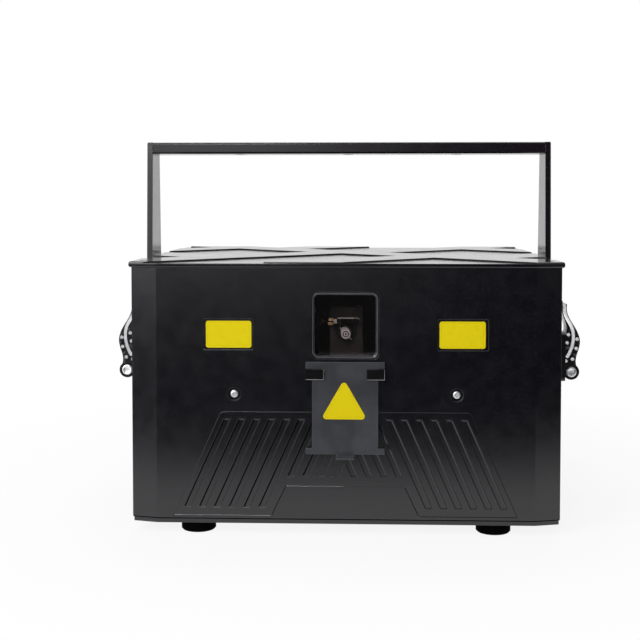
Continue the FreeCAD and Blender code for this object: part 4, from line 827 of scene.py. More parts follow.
def blades_tree() -> Tree:
    """Returns the tree that sets twisted, cambered blades round a hub."""
    labels = ("Hub_Radius", "Span", "Chord", "Thickness", "Angle", "Twist", "Camber")
    sizes = {label: "Float" for label in labels}
    tree, have = geometry_tree("fan_blades", Count="Int", Centre="Vector", Finish="Material", **sizes)
    span, chord = have["Span"], have["Chord"]
    size = add(tree, "ShaderNodeCombineXYZ", (span, chord, have["Thickness"]))
    flat = add(tree, "GeometryNodeMeshCube",
               {"Size": size, "Vertices X": 8, "Vertices Y": 7, "Vertices Z": 2})
    spot = add(tree, "GeometryNodeInputPosition")
    x, y, z = add(tree, "ShaderNodeSeparateXYZ", (spot,)).node.outputs
    share = add(tree, "ShaderNodeMath", (y, chord), operation="DIVIDE")
    square = add(tree, "ShaderNodeMath", (share, share), operation="MULTIPLY")
    rise = add(tree, "ShaderNodeMath", (square, have["Camber"], z), operation="MULTIPLY_ADD")
    bent = add(tree, "ShaderNodeCombineXYZ", (x, y, rise))
    along = add(tree, "ShaderNodeMath", (x, span), operation="DIVIDE")
    lean = add(tree, "ShaderNodeMath", (along, have["Twist"], have["Angle"]), operation="MULTIPLY_ADD")
    turned = add(tree, "ShaderNodeVectorRotate", {"Vector": bent, "Angle": lean}, rotation_type="X_AXIS")
    half = add(tree, "ShaderNodeMath", (span, 0.5, have["Hub Radius"]), operation="MULTIPLY_ADD")
    out = add(tree, "ShaderNodeCombineXYZ", (half,))
    moved = add(tree, "ShaderNodeVectorMath", (turned, out), operation="ADD")
    blade = add(tree, "GeometryNodeSetPosition", {"Geometry": flat, "Position": moved})
    places = add(tree, "GeometryNodeMeshLine", {"Count": have["Count"], "Offset": (0, 0, 0)}, mode="OFFSET")
    step = add(tree, "ShaderNodeMath", (math.tau, have["Count"]), operation="DIVIDE")
    index = add(tree, "GeometryNodeInputIndex")
    angle = add(tree, "ShaderNodeMath", (index, step), operation="MULTIPLY")
    turn = add(tree, "FunctionNodeAxisAngleToRotation", {"Axis": (0, 0, 1), "Angle": angle})
    placed = {"Points": places, "Instance": blade, "Rotation": turn}
    wheel = add(tree, "GeometryNodeInstanceOnPoints", placed)
    tilt = {"Geometry": wheel, "Translation": have["Centre"], "Rotation": (-math.pi / 2, 0, 0)}
    return close_tree(tree, have["Finish"], add(tree, "GeometryNodeTransform", tilt), have["Geometry"])


def scatter_tree() -> Tree:
    """Returns the tree that strews blocks of mixed size over a face, as on a filled circuit board."""
    tree, have = geometry_tree("board_parts", Gap="Float", Small="Vector", Large="Vector", Finish="Material")
    spread = {"Mesh": have["Geometry"], "Distance Min": have["Gap"], "Density Max": 60000.0, "Seed": 11}
    spots = add(tree, "GeometryNodeDistributePointsOnFaces", spread, distribute_method="POISSON")
    mixed = {0: have["Small"], 1: have["Large"], "Seed": 5}
    size = add(tree, "FunctionNodeRandomValue", mixed, data_type="FLOAT_VECTOR")
    cube = add(tree, "GeometryNodeMeshCube", {"Size": (1, 1, 1)})
    lifted = add(tree, "GeometryNodeTransform", {"Geometry": cube, "Translation": (0, 0, 0.5)})
    placed = {"Points": spots, "Instance": lifted, "Scale": size}
    return close_tree(tree, have["Finish"], add(tree, "GeometryNodeInstanceOnPoints", placed))


def on_points(shape: Shape, spots: Sequence[Spot], finish: Finish, spin: float = 0.0) -> Mesh:
    """Repeats a shape on points by geometry nodes.

    Args:
        shape: Shape that stands along Z.
        spots: Place, way and size of each copy.
        finish: Finish of all copies.
        spin: Largest random turn about a copy's own axis.

    Returns:
        One mesh with all copies.
    """
    points = bpy.data.meshes.new("points")
    points.from_pydata([place for place, _, _ in spots], [], [])
    ways = points.attributes.new("facing", "FLOAT_VECTOR", "POINT")
    scales = points.attributes.new("head", "FLOAT_VECTOR", "POINT")
    for index, (_, way, size) in enumerate(spots):
        ways.data[index].vector = way
        scales.data[index].vector = size * MM
    tree = bpy.data.node_groups.get("heads_on_points") or heads_tree()
    copied = linked("copied", mesh_of(shape))
    mesh = grow(tree, points, finish, Shape=copied, Spin=spin)
    bpy.data.objects.remove(copied)
    return mesh


def set_lips(name: str, spots: Sequence[Spot], finish: Finish) -> None:
    """Adds chamfers along straight walls of the case.

    Args:
        name: Piece name.
        spots: Start of each chamfer, the way it runs, and its width, depth and length.
        finish: Finish of the chamfers.
    """
    wedge = skin([[Vector((0, 0, z)), Vector((1, 1, z)), Vector((0, 1, z))] for z in (0, 1)])
    keep(name, on_points(wedge, spots, finish), "case", finish)


class Head(Enum):
    """Shapes of screw head, as radius and height pairs of a head of unit size."""

    BUTTON = ((1.0, 0.0), (1.0, 0.2), (0.9, 0.66), (0.72, 0.92), (0.55, 1.0))
    PAN = ((1.0, 0.0), (1.0, 0.45), (0.93, 0.75), (0.78, 0.95), (0.6, 1.0))
    FLUSH = ((0.6, 0.0), (1.0, 0.8), (1.0, 0.93), (0.95, 1.0), (0.7, 1.0))
    PIN = ((0.7, 0.0), (1.0, 0.0), (1.0, 0.8), (0.85, 0.94), (0.5, 1.0))

    def shape(self) -> Shape:
        """Returns a head of this kind with its driver recess, standing on the XY plane."""
        hexagon = (0.46, 0.41, 0.4, 0.41)
        cross = (0.5, 0.47, 0.16, 0.14, 0.16, 0.47)
        recess = cross if self is Head.PAN else hexagon
        rings = [ring(height, radius) for radius, height in self.value]
        if self is not Head.PIN:
            rings += [ring(1.0, *recess), ring(0.45, *recess), ring(0.36, 0.1)]
        return skin(rings)


@dataclass
class HeadSet:
    """Screws or pins of one kind, set by geometry nodes on the places they have in the CAD."""

    name: str
    kind: Head
    finish: Finish
    height: float
    body: str = "case"

    def build(self, seats: Sequence[tuple[Vector, Vector, float]], *replaced: str) -> None:
        """Sets a head on each seat.

        Args:
            seats: Place, outward way and head radius in millimetres.
            replaced: CAD nodes that these heads stand for.
        """
        spots = [(place, way, Vector((radius, radius, self.height))) for place, way, radius in seats]
        heads = on_points(self.kind.shape(), spots, self.finish, math.tau)
        keep(self.name, heads, self.body, self.finish, *replaced)

    def over(self, node: str, axis: int | None = None, sign: int = 0) -> None:
        """Sets a head over each solid of a CAD node, which the heads then stand for.

        Args:
            node: CAD node with one solid for each screw.
            axis: Axis that the heads face along, or None for the thinnest side.
            sign: Way along the axis, or 0 for outwards.
        """
        seats = []
        for low, high in solids(node):
            middle = (low + high) / 2
            size = high - low
            along = list(size).index(min(size)) if axis is None else axis
            out = Vector()
            out[along] = sign or math.copysign(1, middle[along])
            across = min(size[index] for index in range(3) if index != along)
            top = middle + out * size[along] / 2
            seats.append((top - out * self.height * MM, out, across / 2 / MM))
        self.build(seats, node)


class SubAssembly(ABC):
    """A group of pieces that belong together."""

    @abstractmethod
    def dress(self) -> None:
        """Gives the group's CAD nodes their finishes and sets their screws."""

    def build(self) -> None:
        """Adds or replaces pieces that the CAD has plainly or not at all; a group may need none."""


@dataclass
class Case(SubAssembly):
    """Base, panels, lid, posts and feet of the housing."""

    def dress(self) -> None:
        """Paints the sheet metal and sets its screws."""
        paint(CASE_COAT, "base_plate", "front_panel", "rear_panel", "left_side_panel", "right_side_panel")
        paint(LID_COAT, "top_cover")
        paint(MILLED, "corner_posts")
        paint(FOOT_RUBBER, "rubber_feet")
        HeadSet("panel_button_heads", Head.BUTTON, BLACK_SCREW, 0.8).over("panel_screws")
        HeadSet("lid_button_heads", Head.BUTTON, BLACK_SCREW, 2.2).over("cover_screws", 2)
        HeadSet("foot_button_heads", Head.BUTTON, BLACK_SCREW, 3.0).over("foot_screws", 2, -1)


@dataclass
class FrontFace(SubAssembly):
    """Trim, beam window, bare plates and bright screws of the front."""

    plate_width: float = 42.5
    plate_height: float = 25.2
    plate_x: float = 108.3
    plate_z: float = 187.5
    plate_thick: float = 0.4
    plate_corner: float = 2.2
    plate_line: float = 1.4
    recess: float = 0.6
    front: float = -185.0
    window_z: float = 196.0
    rim: Outline = ((30.5, 0.9), (30.5, 0.0), (30.2, -0.2), (29.8, -0.1),
                    (28.4, 2.0), (28.2, 3.0), (28.2, 4.6), (29.0, 4.6))
    rim_corner: float = 5.9
    facet: Outline = ((-199.8, -178.6), (-176.0, -184.8), (176.0, -184.8), (199.8, -178.6))
    # Height of the dark strip of painted shade under the front panel
    shade_strip_height: float = 1.0
    lip: float = 1.3
    edge: float = 0.5
    # Width and depth of the black strips of painted shade in the left grooves
    shade_strip_width: float = 1.0
    shade_strip_depth: float = 0.1
    lip_sunk: float = 0.05
    lip_end: float = 0.8
    shallow: float = 1.0
    short: float = 3.0
    long: float = 8.0

    def dress(self) -> None:
        """Paints the trim and the window, and sets the two bright screws."""
        paint(TRIM_COAT, "front_trim")
        paint(GASKET_RUBBER, "aperture_gasket")
        paint(WINDOW_GLASS, "aperture_glass")
        HeadSet("front_pan_heads", Head.PAN, SCREW_STEEL, 2.4).over("front_screws", 1)

    def build(self) -> None:
        """Adds the plates in their recesses, the window's rim, a dark strip of painted shade on the base and
        the trim's edges.
        """
        corners = rectangle(self.plate_width, self.plate_height)
        for side, across in zip(SIDES, (-1, 1)):
            spot = mm(across * self.plate_x, self.front + self.recess, self.plate_z)
            flat = plate(corners, self.plate_corner, self.plate_thick, self.plate_line, spot)
            keep(f"{side}_bare_yellow_plate", flat, "case", YELLOW_FILM)
        keep("window_rim", self.window_rim(), "case", RIM_COAT)
        keep("base_seal", self.base_seal(), "case", FOOT_RUBBER)
        self.edge_lips()

    def edge_lips(self) -> None:
        """Adds lines of light and shade along the straight walls of the trim.

        On the left, black strips stand as painted shade at the foot of the grooves' inner walls, and long
        lower edges get bright metal strips as a painted highlight. Inner walls on the right and the other
        lower edges have a chamfer.
        """
        trim = merged("front_trim")
        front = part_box("front_trim")[0].y
        shade_strips: list[Spot] = []
        wear_and_highlight: list[Spot] = []
        lips: list[Spot] = []
        for group in connected([face for face in trim.faces if abs(face.normal.y) < 0.1], 0.02):
            normal = group[0].normal
            points = [vert.co for face in group for vert in face.verts]
            inward = normal.x * math.copysign(1, points[0].x) < -0.5
            lower = normal.z < -0.9
            way = Vector((-normal.z, 0, normal.x))
            points.sort(key=way.dot)
            length = (points[-1] - points[0]).dot(way) / MM
            deep = (max(point.y for point in points) - front) / MM
            start = points[0] + way * self.lip_end * MM
            start.y = front + self.lip_sunk * MM
            ends = 2 * self.lip_end
            left = start.x < 0 and length > self.long
            # A black strip at the foot of a left groove's inner wall is painted shade
            if left and inward and deep < self.shallow:
                start.y = front + deep * MM
                shade_strips.append((start, way, Vector((self.shade_strip_width, self.shade_strip_depth, length - ends))))
            # Bright metal on a long left lower edge is a painted highlight
            elif left and lower and deep > self.shallow:
                wear_and_highlight.append((start, way, Vector((self.edge, deep, min(length, -start.x / MM) - ends))))
            elif length > self.short and (inward or lower):
                width = self.lip if deep < self.shallow else self.edge
                lips.append((start, way, Vector((width, deep, length - ends))))
        trim.free()
        bar = block(Vector((0, -1, 0)), Vector((1, 1, 1)), 0, 0)
        # Black strips of painted shade along the left grooves
        keep("trim_slits", on_points(bar, shade_strips, FOOT_RUBBER), "case", FOOT_RUBBER)
        set_lips("trim_edge_lips", lips, LIP_COAT)
        # Strips of bright metal on the left lower edges: painted highlights
        set_lips("trim_worn_edges", wear_and_highlight, MILLED)

    def window_rim(self) -> Shape:
        """Returns the sloping rim round the window, with rounded corners."""
        widest = self.rim[0][0]
        corners = rectangle(2 * widest, 2 * widest)
        rings = [rounded(corners, widest - half, -depth, self.rim_corner) for half, depth in self.rim]
        return skin(rings, Matrix.Translation(mm(0, self.front, self.window_z)) @ FRONT_UP, ends=False)

    def base_seal(self) -> Shape:
        """Returns the dark strip of painted shade in the step between front panel and base plate."""
        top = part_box("front_panel")[0].z / MM
        low = top - self.shade_strip_height
        rings = []
        for x, y in self.facet:
            back = y + self.shade_strip_height
            rings.append([mm(x, y, low), mm(x, y, top), mm(x, back, top), mm(x, back, low)])
        return skin(rings)


@dataclass
class Shutter(SubAssembly):
    """Sliding plate in front of the window, with its guides and a bare three-cornered plate."""

    low: float = 109.2
    width: float = 43.1
    height: float = 37.2
    corner: float = 3.0
    thick: float = 0.4
    line: float = 1.5
    middle: float = -1.0
    face: float = 3.5
    # Width of the bright strips of painted highlight on the guides
    lip: float = 0.5

    def dress(self) -> None:
        """Paints the plate and its guides."""
        paint(SHUTTER_COAT, "shutter_plate")
        paint(GUIDE_NYLON, "shutter_guides")

    def build(self) -> None:
        """Adds the three-cornered plate, and strips of bright metal on the guides' lower and right edges as
        painted highlights.
        """
        corners = [(-self.width / 2, 0), (self.width / 2, 0), (0, self.height)]
        spot = mm(self.middle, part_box("front_panel")[0].y / MM - self.face, self.low)
        triangle = plate(corners, self.corner, self.thick, self.line, spot)
        keep("shutter_bare_triangle", triangle, "shutter", YELLOW_FILM)
        # Bright metal strips on the guides' lower and right edges only: painted highlights
        edges = []
        for low, high in solids("shutter_guides"):
            wide, _, tall = (high - low) / MM
            edges.append((low, Vector((1, 0, 0)), Vector((self.lip, self.lip, wide))))
            corner = Vector((high.x, low.y, low.z))
            edges.append((corner, Vector((0, 0, 1)), Vector((self.lip, self.lip, tall))))
        set_lips("guide_worn_edges", edges, MILLED)


@dataclass
class Yoke(SubAssembly):
    """Carrying bar with its two arms, clamp threads and pivot bosses."""

    bush_radius: float = 5.96
    bush_bore: float = 4.25
    mouth: float = 0.6
    sunk: float = 0.1
    broken: float = 0.3
    thread: float = 0.75
    ridge: float = 0.45
    plain: float = 1.0

    def dress(self) -> None:
        """Paints the bars and sets their flush screws."""
        paint(YOKE_COAT, "yoke_bar", "left_yoke_arm", "right_yoke_arm")
        paint(ANODISED, "left_pivot_boss", "right_pivot_boss")
        HeadSet("yoke_flush_heads", Head.FLUSH, BLACK_SCREW, 3.0, "yoke").over("yoke_screws", 0)

    def build(self) -> None:
        """Replaces the clamp threads by bushes that lie flush in the bar."""
        low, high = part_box("yoke_bar")
        outline = self.bush((high.z - low.z) / MM)
        rings = [ring(height * MM, radius * MM) for radius, height in outline]
        middles = [(least + most) / 2 for least, most in solids("clamp_inserts")]
        bushes = [skin(rings, Matrix.Translation((spot.x, spot.y, low.z)), ends=False) for spot in middles]
        keep("clamp_bushes", joined(bushes), "yoke", ZINC_STEEL, "clamp_inserts")

    def bush(self, tall: float) -> list[Pair]:
        """Returns the outline of a threaded bush as radius and height, with thread ridges in the bore."""
        mouth = self.bush_bore + self.mouth
        outline = [(self.bush_radius, self.broken), (self.bush_radius, tall - self.broken)]
        outline.append((mouth, tall - self.sunk))
        for turn in range(int((tall - 2 * self.plain) / self.thread), -1, -1):
            outline.append((self.bush_bore + self.ridge * (turn % 2), self.plain + turn * self.thread))
        return outline + [(mouth, self.sunk)]


@dataclass
class ClampLevers(SubAssembly):
    """Cam levers with bare machined holes and slots, their skewers and blocks."""

    cap: Outline = ((0.3, -0.2), (0.3, 0.3), (0.6, 0.5), (1.3, 0.5), (1.7, 0.2))
    dish: Pair = (1.0, 0.1)

    def dress(self) -> None:
        """Paints the blocks and skewers."""
        paint(ANODISED, "left_clamp_block", "right_clamp_block")
        paint(SCREW_STEEL, "left_clamp_skewer", "right_clamp_skewer")

    def build(self) -> None:
        """Replaces each lever by one whose inner walls are bare metal, and caps its barrel."""
        for side in SIDES:
            node = f"{side}_clamp_lever"
            lever = merged(node)
            self.bare_walls(lever)
            keep(f"{side}_cam_lever", mesh_of(lever, ANODISED, BARE_WALL), f"{side}_lever", ANODISED, node)
            self.barrel_caps(side)

    def barrel_caps(self, side: str) -> None:
        """Adds a dished cap on each end of one lever's barrel.

        Args:
            side: Side that the lever is on.
        """
        skewer = merged(f"{side}_clamp_skewer")
        end = min(vert.co.y for vert in skewer.verts)
        rim = [vert.co for vert in skewer.verts if vert.co.y < end + SAME]
        middle = sum(rim, Vector()) / len(rim)
        radius = max((spot - middle).length for spot in rim) / MM
        skewer.free()
        outline = [(radius - inset, height) for inset, height in self.cap] + [self.dish]
        for name, way in (("front", -1), ("rear", 1)):
            spot = Vector((middle.x, -way * middle.y, middle.z))
            keep(f"{side}_{name}_barrel_cap", lathe(outline, facing(spot, (0, way, 0))), "case", SCREW_STEEL)

    def bare_walls(self, lever: Shape) -> None:
        """Marks the walls of holes and slots as bare metal.

        Args:
            lever: Lever in place; faces of inner walls get material index one.
        """
        for group in connected([face for face in lever.faces if abs(face.normal.y) < 0.5], 0.6):
            spots = [vert.co for face in group for vert in face.verts]
            middle = sum(spots, Vector()) / len(spots)
            if sum((middle - face.calc_center_median()).dot(face.normal) for face in group) > 0:
                for face in group:
                    face.material_index = 1


@dataclass
class Scanner(SubAssembly):
    """Motors, shafts and mirrors that steer the beam."""

    nose_end: float = -125.2
    collar: Outline = ((1.5, -11.8), (2.0, -11.8), (2.2, -11.5), (2.2, -9.0), (1.9, -8.6), (1.5, -8.6))
    stem: Outline = ((1.2, -40.0), (1.5, -39.7), (1.5, -9.3), (1.2, -9.0))
    hub: Outline = ((0.9, 1.4), (1.1, 0.0), (2.1, 0.0), (2.3, 0.4), (2.5, 0.0), (3.0, 0.0),
                    (3.2, 0.3), (3.2, 4.6), (1.5, 4.6), (1.5, 23.6), (1.2, 24.0))
    hub_steps: int = 40
    disc_start: float = -148.0
    disc: tuple[tuple[str, Finish, Outline], ...] = (
        ("disc", SCREW_STEEL, ((4.4, 1.0), (4.8, 1.3), (4.8, 3.0))),
        # The black ring in the disc's groove is painted shade
        ("washer", BLACK_SCREW, ((2.8, 0.7), (3.0, 0.9), (3.0, 1.1))),
        ("boss", SCREW_STEEL, ((1.9, 0.2), (2.1, 0.4), (2.1, 0.8))),
        ("screw", BLACK_SCREW, ((0.7, 0.0), (0.9, 0.1), (0.9, 0.3))))
    clamp: tuple[tuple[str, Finish, Point, Point], ...] = (
        ("upper_jaw", BRASS, (-16.8, -3.1, 0.75), (-12.0, 3.1, 3.35)),
        ("lower_jaw", BRASS, (-17.4, -3.1, -3.35), (-12.0, 3.1, -0.75)),
        ("mirror_holder", ANODISED, (-8.6, -4.4, -3.4), (-6.6, 3.0, 3.2)))
    x_size: Pair = (16.0, 11.0)
    y_depth: float = 10.0
    thick: float = 1.0
    cut: float = 1.8

    def dress(self) -> None:
        """Paints the mount and the upper motor, which stay dark behind the window."""
        paint(BRONZED, "galvo_mount")
        paint(ANODISED, "y_galvo_motor")

    def build(self) -> None:
        """Replaces the lower motor, both shafts and both mirrors by detailed ones."""
        motor = merged("x_galvo_motor")
        for face in motor.faces:
            face.material_index = int(face.calc_center_median().y < self.nose_end * MM)
        keep("x_scan_motor", mesh_of(motor, ANODISED, MOTOR_STEEL), "case", MOTOR_STEEL, "x_galvo_motor")
        self.lower_shaft()
        self.upper_shaft()
        low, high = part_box("y_mirror")
        self.mirror("x", self.x_size, Matrix.Rotation(math.pi / 4, 4, "Y"))
        self.mirror("y", ((high.x - low.x) / MM, self.y_depth), Matrix.Rotation(-math.pi / 4, 4, "X"))

    def lower_shaft(self) -> None:
        """Replaces the shaft that points to the front, and adds the clamp on its end."""
        low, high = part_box("x_mirror_shaft")
        start = (low + high) / 2
        start.y = low.y
        hub = lathe(self.hub, facing(start, BACK), self.hub_steps)
        keep("x_scan_shaft", hub, "x_scanner", SCREW_STEEL, "x_mirror_shaft")
        start.y = self.disc_start * MM
        for name, finish, outline in self.disc:
            keep(f"x_clamp_{name}", lathe(outline, facing(start, BACK), self.hub_steps), "x_scanner", finish)

    def upper_shaft(self) -> None:
        """Replaces the shaft that lies across, and adds its collar, jaws and mirror holder."""
        low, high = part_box("y_mirror_shaft")
        middle = (low + high) / 2
        middle.x = 0
        axis = facing(middle, (1, 0, 0))
        keep("y_scan_shaft", lathe(self.stem, axis), "y_scanner", BLACK_SCREW, "y_mirror_shaft")
        keep("y_ceramic_collar", lathe(self.collar, axis), "y_scanner", CERAMIC)
        for name, finish, least, most in self.clamp:
            keep(f"y_{name}", block(middle + mm(*least), middle + mm(*most)), "y_scanner", finish)

    def mirror(self, name: str, size: Pair, turn: Matrix) -> None:
        """Replaces one mirror by a silvered plate with cut corners and ground edges.

        Args:
            name: Letter of the axis.
            size: Width and depth in millimetres.
            turn: How the plate leans.
        """
        low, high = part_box(f"{name}_mirror")
        outline = []
        for (x, y), (sx, sy) in zip(rectangle(*size), rectangle(2, 2)):
            pair = [(x, y - sy * self.cut), (x - sx * self.cut, y)]
            outline += pair if sx == sy else pair[::-1]
        half = self.thick / 2
        shape = skin([[mm(x, y, height) for x, y in outline] for height in (-half, half)])
        for face in shape.faces:
            face.material_index = int(abs(face.normal.z) < 0.5)
        shape.transform(Matrix.Translation((low + high) / 2) @ turn)
        mesh = mesh_of(shape, MIRROR, GROUND_EDGE)
        keep(f"{name}_scan_mirror", mesh, f"{name}_scanner", MIRROR, f"{name}_mirror")


@dataclass
class OpticalBench(SubAssembly):
    """Bench with the three laser modules and the combining filters."""

    fin: float = 2.0
    fin_pitch: float = 5.0
    fin_rise: float = 4.0
    fin_start: float = 14.0
    fin_margin: float = 2.0

    def dress(self) -> None:
        """Paints the bench and its optics."""
        paint(MILLED, "optical_bench", "bench_pillars")
        paint(ANODISED, "red_laser", "green_laser", "blue_laser", "filter_holders")
        paint(FILTER_GLASS, "dichroic_filters")

    def build(self) -> None:
        """Adds cooling ribs on top of each laser module."""
        tree = row_tree()
        for colour in ("red", "green", "blue"):
            low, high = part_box(f"{colour}_laser")
            start = Vector((low.x, (low.y + high.y) / 2, high.z)) + mm(self.fin_start, 0, self.fin_rise / 2)
            count = int((high.x - start.x) / (self.fin_pitch * MM))
            size = mm(self.fin, (high.y - low.y) / MM - self.fin_margin, self.fin_rise)
            values = {"Count": count, "Start": start, "Step": mm(self.fin_pitch, 0, 0), "Size": size}
            ribs = grow(tree, bpy.data.meshes.new("seed"), ANODISED, **values)
            keep(f"{colour}_laser_ribs", ribs, "case", ANODISED)


@dataclass
class Electronics(SubAssembly):
    """Power supply and circuit boards under the bench."""

    below_top: float = 12.0
    margin: float = 9.0
    gap: float = 7.0
    small: Point = (1.5, 1.5, 1.0)
    large: Point = (5.0, 5.0, 5.0)

    def dress(self) -> None:
        """Paints the electronics."""
        paint(SUPPLY_SHEET, "power_supply")
        paint(BOARD, "control_board", "galvo_driver_board")

    def build(self) -> None:
        """Strews small parts over the rear half of both boards."""
        tree = scatter_tree()
        edge = self.margin * MM
        values = {"Gap": self.gap * MM, "Small": mm(*self.small), "Large": mm(*self.large)}
        for node in ("control_board", "galvo_driver_board"):
            low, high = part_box(node)
            top = high.z - self.below_top * MM
            left, right = low.x + edge, high.x - edge
            near, far = (low.y + high.y) / 2 + edge / 3, high.y - edge
            seed = bpy.data.meshes.new("seed")
            corners = [(left, near, top), (right, near, top), (right, far, top), (left, far, top)]
            seed.from_pydata(corners, [], [(0, 1, 2, 3)])
            keep(f"{node}_parts", grow(tree, seed, CHIP_EPOXY, **values), "case", CHIP_EPOXY)


@dataclass
class Fans(SubAssembly):
    """Two axial fans behind the rear grilles."""

    count: int = 7
    hub: float = 18.0
    hub_steps: int = 48
    hub_edge: Pair = (1.0, 1.2)
    bore: float = 2.0
    dish: Outline = ((12.5, 0.0), (12.2, -0.5), (1.5, -0.5))
    root: float = 0.8
    tip: float = 36.8
    chord: float = 26.0
    thick: float = 1.3
    angle: float = 0.62
    twist: float = -0.3
    camber: float = -6.0

    def dress(self) -> None:
        """Paints the frames."""
        paint(FAN_PLASTIC, "left_fan_frame", "right_fan_frame")

    def build(self) -> None:
        """Replaces both rotors by a hub with twisted blades."""
        tree = blades_tree()
        joints = {joint["name"]: joint for joint in frame["record"]["behaviour"]["joints"]}
        sizes = {"Hub_Radius": self.hub - self.root, "Span": self.tip - self.hub + self.root}
        sizes |= {"Chord": self.chord, "Thickness": self.thick, "Camber": self.camber}
        values = {label: size * MM for label, size in sizes.items()}
        values |= {"Count": self.count, "Angle": self.angle, "Twist": self.twist}
        inset, fall = self.hub_edge
        for side in SIDES:
            node = f"{side}_fan_rotor"
            low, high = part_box(node)
            centre = Vector(joints[f"{side}_fan_spin"]["pos_m"])
            centre.y = (low.y + high.y) / 2
            half = (high.y - low.y) / 2 / MM
            profile = [(self.bore, -half), (self.hub - inset, -half), (self.hub, fall - half)]
            profile += [(self.hub, half - fall), (self.hub - inset, half)]
            profile += [(radius, half + height) for radius, height in self.dish]
            seed = mesh_of(lathe(profile, facing(centre, BACK), self.hub_steps))
            wheel = grow(tree, seed, FAN_PLASTIC, Centre=centre, **values)
            keep(f"{side}_fan_wheel", wheel, f"{side}_fan", FAN_PLASTIC, node)


@dataclass
class RearFittings(SubAssembly):
    """Connectors, key switch and safety eye on the back."""

    flange_x: float = 9.5
    flange_z: float = 12.0
    flange_radius: float = 2.6
    jack_x: float = 23.5
    jack_back: float = 4.8
    jack_radius: float = 2.7
    pin_rows: tuple[tuple[int, int], ...] = ((1, 13), (-1, 12))
    pin_pitch: float = 2.77
    row_gap: float = 2.84
    pin_back: float = 0.6
    pin_radius: float = 0.75
    face_steps: Outline = ((0.8, -0.3), (0.8, 0.05), (0.95, 0.15))

    def dress(self) -> None:
        """Paints the fittings."""
        paint(CONNECTOR_PLASTIC, "mains_inlet", "dmx_input", "dmx_output")
        paint(NICKEL, "show_control_sockets", "key_switch", "key_plug", "switch_key")
        paint(ZINC_STEEL, "safety_bracket")

    def build(self) -> None:
        """Adds flange screws, jack screws, contacts and the sockets' moulded faces."""
        flange = []
        for node in ("mains_inlet", "dmx_input", "dmx_output"):
            low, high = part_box(node)
            middle = (low + high) / 2
            middle.y = high.y
            for side in (-1, 1):
                spot = middle + mm(side * self.flange_x, 0, -side * self.flange_z)
                flange.append((spot, BACK, self.flange_radius))
        HeadSet("flange_screws", Head.BUTTON, BLACK_SCREW, 1.2).build(flange)
        jacks = []
        pins = []
        for low, high in solids("show_control_sockets"):
            middle = (low + high) / 2
            middle.y = high.y
            for side in (-1, 1):
                jacks.append((middle + mm(side * self.jack_x, -self.jack_back, 0), BACK, self.jack_radius))
            for row, count in self.pin_rows:
                for index in range(count):
                    x = (index - (count - 1) / 2) * self.pin_pitch
                    spot = middle + mm(x, -self.pin_back, row * self.row_gap / 2)
                    pins.append((spot, BACK, self.pin_radius))
        HeadSet("socket_jack_screws", Head.BUTTON, ZINC_STEEL, 3.6).build(jacks)
        HeadSet("socket_contacts", Head.PIN, BRASS, 0.9).build(pins)
        keep("socket_insulators", joined(self.insulators()), "case", CONNECTOR_PLASTIC)

    def insulators(self) -> list[Shape]:
        """Returns the moulded face inside each socket's shell, whose edge stays bare."""
        sockets = merged("show_control_sockets")
        faces = []
        for low, high in solids("show_control_sockets"):
            outer = [vert.co for vert in sockets.verts if vert.co.y > high.y - SAME]
            end = [spot for spot in outer if low.x < spot.x < high.x]
            least, most = corners_of(end)
            middle = (least + most) / 2
            half = (most - least) / 2
            spokes = sorted((spot - middle for spot in end), key=lambda spoke: math.atan2(spoke.x, spoke.z))
            rings = []
            for inset, proud in self.face_steps:
                scale = Vector((1 - inset * MM / half.x, 0, 1 - inset * MM / half.z))
                rings.append([middle + spoke * scale + mm(0, proud, 0) for spoke in spokes])
            faces.append(skin(rings))
        sockets.free()
        return faces


